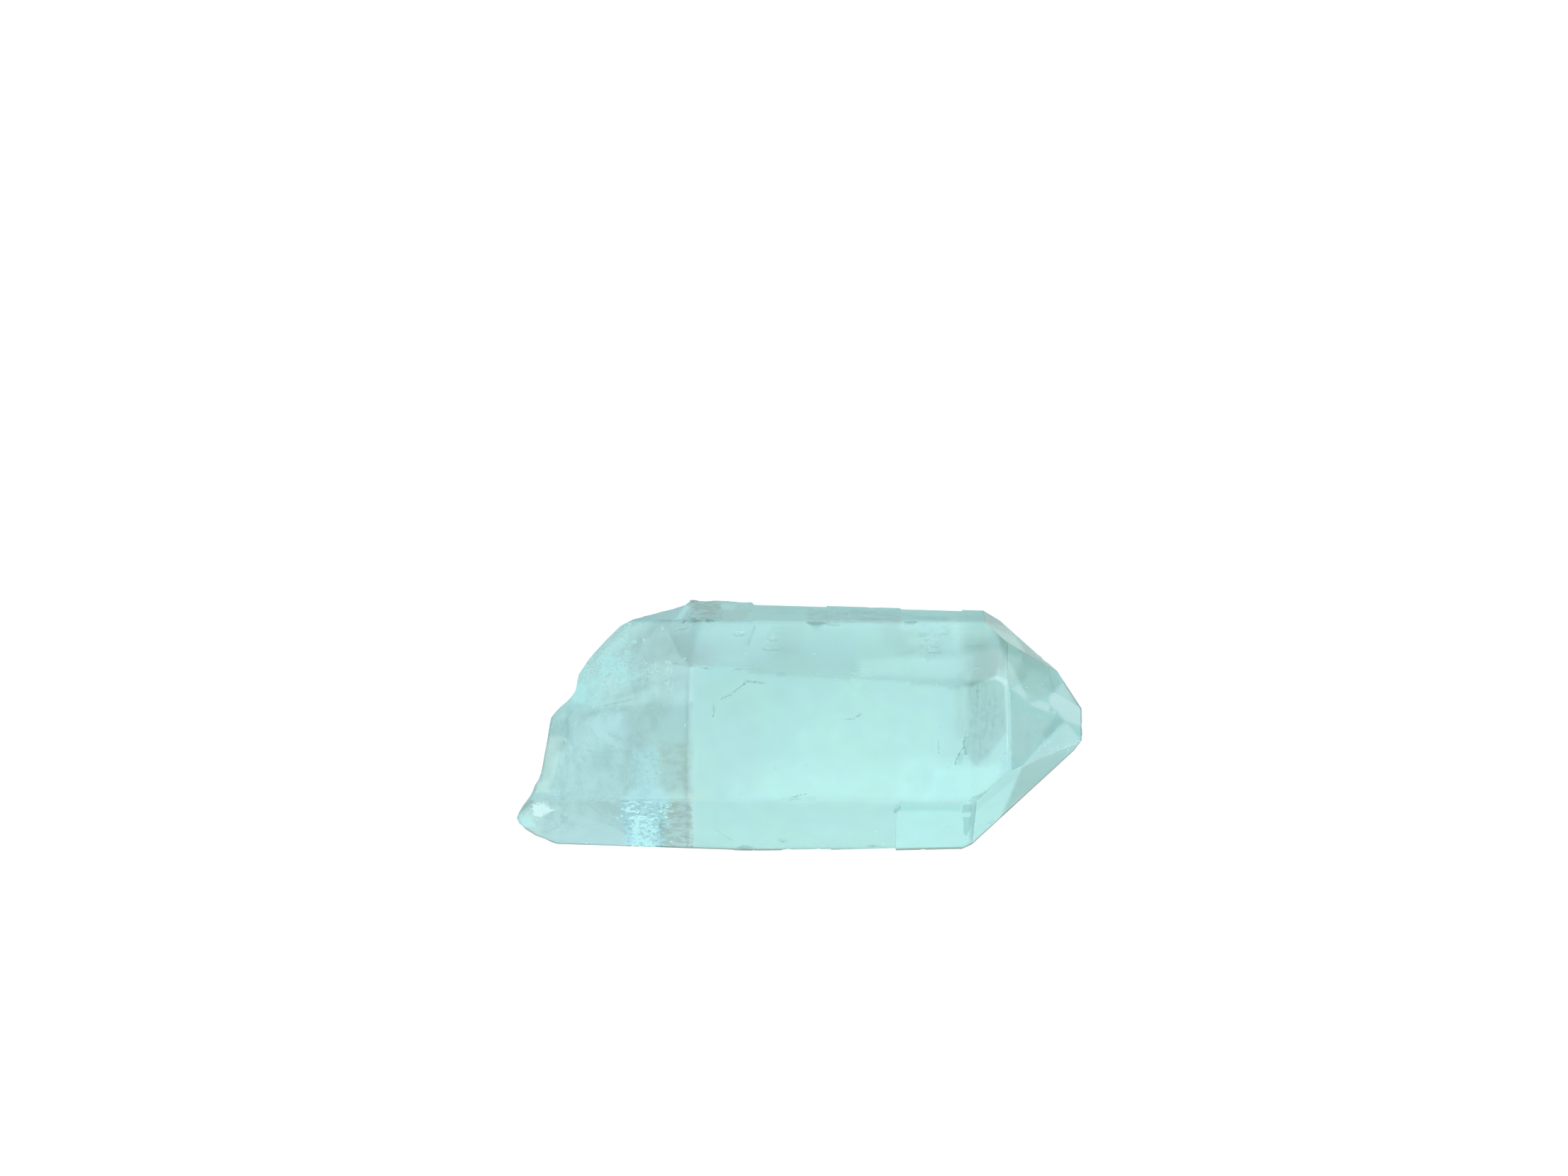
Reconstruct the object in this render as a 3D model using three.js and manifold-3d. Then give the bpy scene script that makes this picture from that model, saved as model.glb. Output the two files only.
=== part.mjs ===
// A single point of clear quartz, lying on one of its long prism faces, in millimetres.
// The crystal's long axis is X with the point at +X, the front is -Y and up is +Z.
// Every natural face is one flat cut through a raw block. The root end is a rough break.
import * as THREE from 'three';
import { mergeVertices } from 'three/addons/utils/BufferGeometryUtils.js';
import Module from 'manifold-3d';

// Angle of a pyramid face's normal from the long axis, the same on every quartz crystal.
const PYRAMID_LEAN = 51.8;

// Prism faces. turn is the way a face looks, in degrees about the long axis from the back (+Y) up.
// distance is from the middle of the lying face, and taper is how far the face leans to the point.
const PRISM_FACES = {
  top: { turn: 90, distance: 18.7, taper: 0 },
  front_upper: { turn: 150, distance: 18.4, taper: 0.6 },
  front_lower: { turn: 210, distance: 9.6, taper: 0.4 },
  front_lower_root: { turn: 210, distance: 10.06, taper: -3.6 },
  front_lower_point: { turn: 210, distance: 9.65, taper: 1.6 },
  lying: { turn: 270, distance: 0, taper: 0 },
  back_lower: { turn: 330, distance: 5.94, taper: 3 },
  back_upper: { turn: 30, distance: 19.73, taper: 0.5 },
};

// Pyramid faces, one above each prism face, with distance from the same middle.
const PYRAMID_FACES = {
  point_top: { turn: 90, distance: 30.5 },
  point_front_upper: { turn: 150, distance: 27.5 },
  point_front_lower: { turn: 210, distance: 19.6 },
  point_lying: { turn: 270, distance: 13.3 },
  point_back_lower: { turn: 330, distance: 18.75 },
  point_back_upper: { turn: 30, distance: 29.35 },
};

// Narrow natural bevels along two edges, by width.
const BEVELS = [
  { between: ['top', 'point_top'], width: 0.55 },
  { between: ['point_top', 'point_lying'], width: 0.25 },
];

// Growth ledges: an area of a face that lies lower than the rest of it. The outline is in the
// face's own plane, as distances along the crystal and across the face from the middle. Its
// points at 30 mm or more are past the face's edges.
const LEDGES = [
  {
    face: 'front_upper',
    depth: 0.5,
    outline: [[-60, -30], [12.2, -30], [11.5, 4], [11.1, 8.3], [11.9, 9.4], [10.8, 40], [-60, 40]],
  },
  {
    face: 'front_upper',
    depth: 0.62,
    outline: [[-60, -30], [-9.5, -30], [-8.8, 1.5], [-11, 4.2], [-10.4, 40], [-60, 40]],
  },
  {
    face: 'back_upper',
    depth: 0.2,
    outline: [[-6.5, -30], [3.1, -30], [2.6, 30], [-5.9, 30]],
  },
  {
    face: 'back_lower',
    depth: 0.55,
    outline: [[-7.4, -30], [-6.1, -14], [-7.2, -9], [-6.4, 30], [60, 30], [60, -30]],
  },
  {
    face: 'back_lower',
    depth: 0.88,
    outline: [[11.6, -30], [12.4, -12], [13.8, -8.5], [13.2, 30], [20.4, 30], [19.6, -30]],
  },
  {
    face: 'lying',
    depth: 0.25,
    outline: [[6.2, -4.7], [12.3, -4.4], [13.2, -4.9], [18.8, -4.4], [19.4, -30], [7.1, -30]],
  },
  {
    face: 'front_lower',
    depth: 0.16,
    outline: [[-3, -30], [-2.2, 2], [-3.1, 30], [3.4, 30], [4.1, -30]],
  },
  {
    face: 'point_top',
    depth: 0.14,
    outline: [[8, 3.9], [17.4, 0], [10.9, -5], [9.4, -6.4], [9.4, -30], [60, -30], [60, 30], [8, 30]],
  },
  {
    face: 'point_back_lower',
    depth: 0.18,
    outline: [[-60, -60], [22.4, -60], [24.6, 60], [-60, 60]],
  },
];

// The break at the root. It starts as a straight line across the lying face and falls away under
// the crystal to this outline, as it is seen from above, given as [y, x] from the front to the back.
const BREAK_START = -14.2;
const BREAK_OUTLINE = [
  [-16.5, -27.6], [-15.2, -29.8], [-14.2, -32.5], [-13.2, -34.5], [-12.2, -34.9], [-10.3, -33.5],
  [-9.3, -32.7], [-7.2, -32], [-2.5, -31.3], [0.1, -30.9], [1.2, -30], [2.2, -28.8], [3.3, -28],
  [5.4, -27.6], [7.5, -26.2], [9.6, -24.3], [11.7, -22.2], [12.9, -19.1], [14.1, -15.6], [15.3, -13.5],
];
// How steeply the break falls: near 1 it is an even slope, above 1 it starts low and ends steep.
const BREAK_CURVE = 1.9;
// The grid of the break, and how far it stands past the crystal's sides, its top and its root.
const BREAK_CELLS_ACROSS = 58;
const BREAK_CELLS_UP = 36;
const BREAK_HALF_WIDTH = 19.5;
const BREAK_MARGIN = 1.5;
const BREAK_DEPTH = 60;
// The relief of the break fades out over these shares of its height, at the bottom and at the top.
const RELIEF_FADE_LOW = 0.25;
const RELIEF_FADE_HIGH = 0.2;

// Shell-shaped hollows in the break, at y and z, with ripples round their far rim.
const SHELLS = [
  { y: -6.5, z: 7.5, radius: 6.2, depth: 1.6, ripples: 4 },
  { y: 0.2, z: 5, radius: 4.4, depth: 0.9, ripples: 3 },
  { y: 5.2, z: 9.6, radius: 5, depth: 1.4, ripples: 3 },
  { y: -11.2, z: 12, radius: 3.6, depth: 0.9, ripples: 2 },
  { y: 9.6, z: 13, radius: 4.2, depth: 1, ripples: 3 },
  { y: -1.4, z: 14.6, radius: 3.4, depth: 0.8, ripples: 2 },
];
const RIPPLE_HEIGHT = 0.3;

// Steps that run along the break. Each is at y where z is 0 and moves by slope as it climbs.
const BREAK_STEPS = [
  { y: -11.6, slope: 0.25, height: 0.7 },
  { y: -5.4, slope: 0.12, height: 0.5 },
  { y: 3.2, slope: -0.18, height: 0.9 },
  { y: 6.2, slope: -0.3, height: 0.7 },
  { y: 8.4, slope: 0.2, height: 0.6 },
];
const STEP_WIDTH = 0.7;

// Bites out of the ridges between two faces. at is the place along X (or Y where axis says so).
const CHIPS = [
  { between: ['top', 'front_upper'], at: -1.9, size: [1.1, 0.75, 0.6], bite: 0.62 },
  { between: ['top', 'front_upper'], at: -0.4, size: [0.9, 0.7, 0.5], bite: 0.56 },
  { between: ['top', 'front_upper'], at: 0.9, size: [1.3, 0.8, 0.6], bite: 0.64 },
  { between: ['top', 'front_upper'], at: 2.5, size: [0.7, 0.6, 0.5], bite: 0.55 },
  { between: ['top', 'front_upper'], at: 11.5, size: [0.9, 0.6, 0.6], bite: 0.3 },
  { between: ['top', 'front_upper'], at: 16.8, size: [0.6, 0.4, 0.4], bite: 0.14 },
  { between: ['top', 'back_upper'], at: 1.7, size: [1.5, 1, 0.8], bite: 0.45 },
  { between: ['top', 'back_upper'], at: -13.6, size: [0.7, 1.1, 0.8], bite: 0.5 },
  { between: ['top', 'back_upper'], at: -11.4, size: [0.8, 0.6, 0.6], bite: 0.25 },
  { between: ['top', 'back_upper'], at: 13.4, size: [1, 0.6, 0.5], bite: 0.28 },
  { between: ['back_upper', 'back_lower'], at: 9, size: [1.4, 0.7, 0.7], bite: 0.9 },
  { between: ['back_upper', 'back_lower'], at: -7.5, size: [1.7, 0.7, 0.6], bite: 0.4 },
  { between: ['back_upper', 'back_lower'], at: -12.2, size: [1.2, 0.7, 0.6], bite: 0.3 },
  { between: ['back_upper', 'back_lower'], at: 18.6, size: [0.8, 0.5, 0.5], bite: 0.7 },
  { between: ['front_upper', 'front_lower'], at: -6.3, size: [1, 0.7, 0.7], bite: 0.62 },
  { between: ['front_upper', 'front_lower'], at: -1.8, size: [0.8, 0.6, 0.5], bite: 0.58 },
  { between: ['front_upper', 'front_lower'], at: 2, size: [0.9, 0.6, 0.6], bite: 0.6 },
  { between: ['front_upper', 'front_lower'], at: 15.2, size: [0.7, 0.5, 0.5], bite: 0.4 },
  { between: ['front_lower', 'lying'], at: -7.4, size: [1.3, 0.8, 0.7], bite: 0.4 },
  { between: ['front_lower', 'lying'], at: 9.1, size: [1, 0.6, 0.6], bite: 0.3 },
  { between: ['back_lower', 'lying'], at: -2.6, size: [1.2, 0.8, 0.7], bite: 0.7 },
  { between: ['point_top', 'point_front_upper'], at: 31.8, size: [0.7, 0.5, 0.4], bite: 0.24 },
  { between: ['point_back_upper', 'point_back_lower'], at: 30.4, size: [0.9, 0.5, 0.5], bite: 0.25 },
  { between: ['point_top', 'point_lying'], axis: 'y', at: -0.4, size: [0.5, 0.7, 0.5], bite: 0.25 },
  { between: ['point_top', 'point_lying'], axis: 'y', at: -1.9, size: [0.5, 0.6, 0.5], bite: 0.25 },
];
const CHIP_DETAIL = 2;
const CHIP_ROUGHNESS = 0.1;

// Shallow marks in the faces, at places in a face's own plane, longest along the crystal.
const PITS = [
  { face: 'top', at: [-7.8, 10.4], size: [0.9, 0.4, 0.3], bite: 0.16 },
  { face: 'top', at: [-3.6, 9.8], size: [0.8, 0.4, 0.3], bite: 0.16 },
  { face: 'top', at: [-3.7, 8.5], size: [1.5, 0.3, 0.3], bite: 0.12 },
  { face: 'top', at: [-7, 6], size: [1.6, 0.25, 0.25], bite: 0.1 },
  { face: 'top', at: [-10.8, 1.2], size: [0.35, 0.7, 0.25], bite: 0.12 },
  { face: 'top', at: [7.4, 5.4], size: [1.4, 0.45, 0.3], bite: 0.14 },
  { face: 'top', at: [15, 10.4], size: [0.8, 0.5, 0.4], bite: 0.16 },
  { face: 'top', at: [16.4, 9], size: [0.6, 0.5, 0.35], bite: 0.14 },
  { face: 'top', at: [17.6, 10.6], size: [0.7, 0.4, 0.35], bite: 0.14 },
  { face: 'top', at: [-26.3, 1.6], size: [0.9, 0.6, 0.4], bite: 0.18 },
  { face: 'front_upper', at: [-2.6, 1.6], size: [0.9, 0.6, 0.5], bite: 0.68 },
  { face: 'front_upper', at: [-14.5, 7], size: [1.2, 0.5, 0.4], bite: 0.76 },
  { face: 'front_upper', at: [17.9, 5.2], size: [0.6, 0.4, 0.35], bite: 0.12 },
  { face: 'back_lower', at: [3.5, -15.5], size: [1.4, 0.7, 0.5], bite: 0.75 },
  { face: 'back_lower', at: [16, -9], size: [0.9, 0.8, 0.5], bite: 1 },
  { face: 'front_lower', at: [10.5, -4], size: [1.1, 0.6, 0.5], bite: 0.2 },
  { face: 'point_front_upper', at: [8.5, 3.5], size: [0.7, 0.5, 0.4], bite: 0.15 },
  { face: 'point_lying', at: [14.5, 1.2], size: [0.9, 0.6, 0.4], bite: 0.16 },
];

// Three waves that make the bites uneven, each by its radians per millimetre along x, y and z.
const BITE_WAVES = [
  [7.1, 3.3, 0],
  [0, 5.7, -4.9],
  [2.7, 0, 6.1],
];

const RAW_BLOCK = [100, 60, 60];
const CUTTER_SIZE = 220;
const CUTTER_OVERLAP = 2;
const MERGE_DISTANCE = 1e-5;

const QUARTZ = { color: 0xaedddb, roughness: 0.12, metalness: 0, transparent: true, opacity: 0.8 };

const UP = new THREE.Vector3(0, 0, 1);

const wasm = await Module();
wasm.setup();

function toSolid(geometry) {
  const bare = geometry.clone();
  bare.deleteAttribute('normal');
  bare.deleteAttribute('uv');
  const merged = mergeVertices(bare, MERGE_DISTANCE);
  const mesh = new wasm.Mesh({
    numProp: 3,
    vertProperties: new Float32Array(merged.attributes.position.array),
    triVerts: new Uint32Array(merged.index.array),
  });
  return new wasm.Manifold(mesh);
}

function toGeometry(solid) {
  const mesh = solid.getMesh();
  const geometry = new THREE.BufferGeometry();
  geometry.setAttribute('position', new THREE.BufferAttribute(mesh.vertProperties, 3));
  geometry.setIndex(new THREE.BufferAttribute(mesh.triVerts, 1));
  return geometry;
}

// The outward normal of a face that looks turn degrees round the axis and lean degrees along it.
function faceNormal(turn, lean) {
  const round = THREE.MathUtils.degToRad(turn);
  const along = THREE.MathUtils.degToRad(lean);
  const radial = Math.cos(along);
  return new THREE.Vector3(Math.sin(along), radial * Math.cos(round), radial * Math.sin(round));
}

function namePlanes() {
  const planes = {};
  for (const [name, { turn, distance, taper }] of Object.entries(PRISM_FACES)) {
    planes[name] = { normal: faceNormal(turn, taper), distance };
  }
  for (const [name, { turn, distance }] of Object.entries(PYRAMID_FACES)) {
    planes[name] = { normal: faceNormal(turn, 90 - PYRAMID_LEAN), distance };
  }
  return planes;
}

// A frame on a face: X runs up the face towards the point, Y across it, and Z out of it.
function faceFrame({ normal, distance }) {
  const across = new THREE.Vector3().crossVectors(normal, new THREE.Vector3(1, 0, 0)).normalize();
  const along = new THREE.Vector3().crossVectors(across, normal);
  const frame = new THREE.Matrix4().makeBasis(along, across, normal);
  return frame.setPosition(normal.clone().multiplyScalar(distance));
}

// Everything outside a face, as a large block standing on its plane.
function outsideOf(plane) {
  const block = new THREE.BoxGeometry(CUTTER_SIZE, CUTTER_SIZE, CUTTER_SIZE);
  block.translate(0, 0, CUTTER_SIZE / 2);
  block.applyMatrix4(faceFrame(plane));
  return toSolid(block);
}

// The plane that cuts a bevel of a given width along the edge between two faces.
function bevelPlane(first, second, width) {
  const normal = first.normal.clone().add(second.normal);
  const edgeDistance = (first.distance + second.distance) / normal.length();
  const halfAngle = first.normal.angleTo(second.normal) / 2;
  const depth = (width / 2) * Math.tan(halfAngle);
  return { normal: normal.normalize(), distance: edgeDistance - depth };
}

// The point on the ridge between two faces where one coordinate has a given value.
function ridgePoint(first, second, axis, value) {
  const third = new THREE.Vector3(axis === 'x' ? 1 : 0, axis === 'y' ? 1 : 0, 0);
  const rows = new THREE.Matrix3(
    ...first.normal.toArray(),
    ...second.normal.toArray(),
    ...third.toArray(),
  );
  return new THREE.Vector3(first.distance, second.distance, value).applyMatrix3(rows.invert());
}

// Linear interpolation through [place, value] pairs.
function alongLine(points, place) {
  let last = points[0];
  for (const next of points) {
    if (place <= next[0] && next !== last) {
      return THREE.MathUtils.mapLinear(place, last[0], next[0], last[1], next[1]);
    }
    last = next;
  }
  return last[1];
}

// Height of the crystal's skin above a place in the lying face's plane, and no less than the margin.
function skinHeight(planes, x, y) {
  const heights = [planes.top, planes.front_upper, planes.back_upper].map(({ normal, distance }) => (
    (distance - normal.x * x - normal.y * y) / normal.z
  ));
  return Math.max(Math.min(...heights), BREAK_MARGIN);
}

// A bowl with round ripples that grow towards its rim.
function shellRelief({ y: shellY, z: shellZ, radius, depth, ripples }, y, z) {
  const away = Math.hypot(y - shellY, z - shellZ) / radius;
  if (away >= 1) {
    return 0;
  }
  const bowl = depth * (1 - away ** 2) ** 2;
  const crest = 1 - Math.abs(Math.sin(Math.PI * ripples * away));
  return bowl + RIPPLE_HEIGHT * crest * away * (1 - away ** 4);
}

// A soft-edged step, half above and half below the rest.
function stepRelief({ y: stepY, slope, height }, y, z) {
  const across = y - stepY - slope * z;
  return height * (THREE.MathUtils.smoothstep(across, -STEP_WIDTH / 2, STEP_WIDTH / 2) - 0.5);
}

// Where the break lies along X at a place of the cross-section.
function breakSurface(planes, y, z) {
  const outline = alongLine(BREAK_OUTLINE, y);
  const rise = THREE.MathUtils.clamp(z / skinHeight(planes, outline, y), 0, 1);
  const fall = 1 - (1 - rise) ** BREAK_CURVE;
  const reach = Math.max(BREAK_START - outline, 0);
  const fade = Math.min(rise / RELIEF_FADE_LOW, (1 - rise) / RELIEF_FADE_HIGH, 1);
  let relief = 0;
  for (const shell of SHELLS) {
    relief += shellRelief(shell, y, z);
  }
  for (const step of BREAK_STEPS) {
    relief += stepRelief(step, y, z);
  }
  return BREAK_START - reach * fall + fade * relief;
}

// All that the break takes away: a grid over the cross-section, walls round its rim and a flat back.
function breakBlock(planes) {
  const width = 2 * BREAK_HALF_WIDTH;
  const height = PRISM_FACES.top.distance + 2 * BREAK_MARGIN;
  const middleZ = PRISM_FACES.top.distance / 2;
  const front = new THREE.PlaneGeometry(width, height, BREAK_CELLS_ACROSS, BREAK_CELLS_UP);
  const places = front.attributes.position;
  const vertices = [];
  for (let i = 0; i < places.count; i += 1) {
    const y = places.getX(i);
    const z = middleZ + places.getY(i);
    vertices.push(breakSurface(planes, y, z), y, z);
  }
  const rim = rimOfGrid(BREAK_CELLS_ACROSS + 1, BREAK_CELLS_UP + 1);
  const back = places.count;
  for (const corner of rim) {
    vertices.push(-BREAK_DEPTH, vertices[corner * 3 + 1], vertices[corner * 3 + 2]);
  }
  const middle = back + rim.length;
  vertices.push(-BREAK_DEPTH, 0, middleZ);
  const faces = [...front.index.array];
  rim.forEach((corner, i) => {
    const j = (i + 1) % rim.length;
    faces.push(corner, rim[j], back + i);
    faces.push(rim[j], back + j, back + i);
    faces.push(back + i, back + j, middle);
  });
  const block = new THREE.BufferGeometry();
  block.setAttribute('position', new THREE.Float32BufferAttribute(vertices, 3));
  block.setIndex(faces);
  return toSolid(block);
}

// The rim of a grid whose points run in rows from the top left, as one loop of indices.
function rimOfGrid(columns, rows) {
  const rim = [];
  for (let c = 0; c < columns - 1; c += 1) {
    rim.push(c);
  }
  for (let r = 0; r < rows - 1; r += 1) {
    rim.push(r * columns + columns - 1);
  }
  for (let c = columns - 1; c > 0; c -= 1) {
    rim.push((rows - 1) * columns + c);
  }
  for (let r = rows - 1; r > 0; r -= 1) {
    rim.push(r * columns);
  }
  return rim;
}

// The thin slab that a ledge takes off its face.
function ledgeCut(planes, { face, depth, outline }) {
  const shape = new THREE.Shape(outline.map(([along, across]) => new THREE.Vector2(along, across)));
  const thickness = depth + CUTTER_OVERLAP;
  const cut = new THREE.ExtrudeGeometry(shape, { depth: thickness, bevelEnabled: false });
  cut.translate(0, 0, -depth);
  cut.applyMatrix4(faceFrame(planes[face]));
  return toSolid(cut);
}

// A small repeatable unevenness between -1 and 1, from a place.
function unevenness(place) {
  return BITE_WAVES.reduce((product, wave) => product * Math.sin(place.dot(new THREE.Vector3(...wave))), 1);
}

// A rough ball that takes a shell-shaped bite, so many millimetres deep, out of what lies inward.
function biteCut(centre, outward, size, bite) {
  const ball = new THREE.IcosahedronGeometry(1, CHIP_DETAIL);
  const places = ball.attributes.position;
  const place = new THREE.Vector3();
  for (let i = 0; i < places.count; i += 1) {
    place.fromBufferAttribute(places, i);
    const bump = unevenness(place.clone().add(centre));
    place.multiplyScalar(1 + CHIP_ROUGHNESS * bump);
    places.setXYZ(i, place.x, place.y, place.z);
  }
  ball.scale(...size);
  ball.applyQuaternion(new THREE.Quaternion().setFromUnitVectors(UP, outward));
  const middle = centre.clone().addScaledVector(outward, size[2] - bite);
  ball.translate(middle.x, middle.y, middle.z);
  return toSolid(ball);
}

// A bite out of the ridge between two faces.
function chipCut(planes, { between, axis = 'x', at, size, bite }) {
  const [first, second] = between.map((name) => planes[name]);
  const outward = first.normal.clone().add(second.normal).normalize();
  return biteCut(ridgePoint(first, second, axis, at), outward, size, bite);
}

// A bite out of the middle of a face.
function pitCut(planes, { face, at, size, bite }) {
  const centre = new THREE.Vector3(...at, 0).applyMatrix4(faceFrame(planes[face]));
  return biteCut(centre, planes[face].normal, size, bite);
}

// The raw block, cut by every face, bevel, ledge, chip and pit, and then broken off at the root.
function growCrystal() {
  const planes = namePlanes();
  let crystal = toSolid(new THREE.BoxGeometry(...RAW_BLOCK));
  for (const plane of Object.values(planes)) {
    crystal = crystal.subtract(outsideOf(plane));
  }
  for (const { between, width } of BEVELS) {
    const [first, second] = between.map((name) => planes[name]);
    crystal = crystal.subtract(outsideOf(bevelPlane(first, second, width)));
  }
  for (const ledge of LEDGES) {
    crystal = crystal.subtract(ledgeCut(planes, ledge));
  }
  for (const chip of CHIPS) {
    crystal = crystal.subtract(chipCut(planes, chip));
  }
  for (const pit of PITS) {
    crystal = crystal.subtract(pitCut(planes, pit));
  }
  return crystal.subtract(breakBlock(planes));
}

// The finished crystal, standing on z = 0 with its box centred on x = 0 and y = 0.
function crystalPoint() {
  const geometry = toGeometry(growCrystal());
  geometry.computeBoundingBox();
  const middle = geometry.boundingBox.getCenter(new THREE.Vector3());
  geometry.translate(-middle.x, -middle.y, -geometry.boundingBox.min.z);
  const mesh = new THREE.Mesh(geometry, new THREE.MeshStandardMaterial(QUARTZ));
  mesh.name = 'crystal_point';
  return mesh;
}

const rockCrystal = new THREE.Group();
rockCrystal.add(crystalPoint());

export default rockCrystal;
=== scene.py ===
"""A single point of clear, faintly aqua quartz, lying on a long prism face on a pale studio floor.

The long axis of the crystal is X with the point at +X, the front is -Y and up is +Z, in metres.
"""
import logging
import math
from dataclasses import dataclass
from enum import Enum
from typing import Any, Protocol, Sequence

import bmesh
import bpy
import numpy as np
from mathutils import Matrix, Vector
from mathutils.bvhtree import BVHTree


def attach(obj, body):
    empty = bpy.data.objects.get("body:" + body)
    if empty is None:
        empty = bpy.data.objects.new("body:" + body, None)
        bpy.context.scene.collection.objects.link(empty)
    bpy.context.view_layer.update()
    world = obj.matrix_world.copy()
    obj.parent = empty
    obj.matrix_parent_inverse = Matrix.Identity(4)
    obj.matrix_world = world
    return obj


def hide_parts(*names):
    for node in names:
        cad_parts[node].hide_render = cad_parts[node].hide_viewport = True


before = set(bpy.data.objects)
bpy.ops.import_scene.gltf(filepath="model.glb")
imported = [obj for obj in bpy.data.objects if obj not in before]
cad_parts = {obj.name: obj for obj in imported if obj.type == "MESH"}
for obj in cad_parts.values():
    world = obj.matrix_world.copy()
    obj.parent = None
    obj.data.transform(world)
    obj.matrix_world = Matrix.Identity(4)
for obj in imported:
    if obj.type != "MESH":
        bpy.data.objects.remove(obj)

LOG = logging.getLogger("rock_crystal")
MM = 0.001
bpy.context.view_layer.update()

BROKEN = "broken"
UPPER = "upper"
PALE = "pale"
QUARTZ_IOR = 1.544
FULL_TURN = 360.0

Colour = tuple[float, float, float]
Range = tuple[float, float]
Outline = tuple[tuple[float, float], ...]


class Term:
    """A node's output, which can stand in a sum as a plain Python number does."""

    def __init__(self, bench: "Bench", socket: bpy.types.NodeSocket) -> None:
        """Keeps the bench that makes new nodes and the output that this term stands for."""
        self.bench = bench
        self.socket = socket

    def _math(self, operation: str, other: "Term | float") -> "Term":
        """Adds a Math node that takes this term and another."""
        return self.bench.node("ShaderNodeMath", {"operation": operation}, {0: self, 1: other})

    def __add__(self, other: "Term | float") -> "Term":
        """This term plus another."""
        return self._math("ADD", other)

    __radd__ = __add__

    def __sub__(self, other: "Term | float") -> "Term":
        """This term less another."""
        return self._math("SUBTRACT", other)

    def __rsub__(self, other: "Term | float") -> "Term":
        """Another less this term."""
        return self.bench.term(other)._math("SUBTRACT", self)

    def __mul__(self, other: "Term | float") -> "Term":
        """This term times another."""
        return self._math("MULTIPLY", other)

    __rmul__ = __mul__

    def least(self, other: "Term | float") -> "Term":
        """The smaller of this term and another."""
        return self._math("MINIMUM", other)

    def above(self, low: float, high: float) -> "Term":
        """A smooth rise from 0 to 1, level past both ends, so the node's own clamp stays off.

        Args:
            low: the value up to which it is 0.
            high: the value from which it is 1.

        Returns:
            The risen value.
        """
        settings = {"interpolation_type": "SMOOTHSTEP", "clamp": False}
        values = {"Value": self, "From Min": low, "From Max": high}
        return self.bench.node("ShaderNodeMapRange", settings, values)

    def dot(self, axis: Sequence[float]) -> "Term":
        """The length of this vector along an axis."""
        settings = {"operation": "DOT_PRODUCT"}
        return self.bench.node("ShaderNodeVectorMath", settings, {0: self, 1: tuple(axis)}, "Value")

    def stretched(self, scale: Sequence[float]) -> "Term":
        """This vector with each part multiplied by its own number."""
        settings = {"operation": "MULTIPLY"}
        return self.bench.node("ShaderNodeVectorMath", settings, {0: self, 1: tuple(scale)})

    def moved(self, shift: "Term", amount: float) -> "Term":
        """This vector moved by another, whose lower half pushes it back and whose upper half on.

        Args:
            shift: a vector whose parts run from 0 to 1.
            amount: the most that a part moves, either way.

        Returns:
            The moved vector.
        """
        settings = {"operation": "MULTIPLY_ADD"}
        even = {0: shift, 1: (2.0 * amount,) * 3, 2: (-amount,) * 3}
        swing = self.bench.node("ShaderNodeVectorMath", settings, even)
        return self.bench.node("ShaderNodeVectorMath", {"operation": "ADD"}, {0: self, 1: swing})

    def plan(self) -> "Term":
        """This place seen from above, as x, y and 1, so that a dot product can hold an offset.

        Returns:
            The flattened place.
        """
        settings = {"operation": "MULTIPLY_ADD"}
        parts = {0: self, 1: (1.0, 1.0, 0.0), 2: (0.0, 0.0, 1.0)}
        return self.bench.node("ShaderNodeVectorMath", settings, parts)


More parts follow.
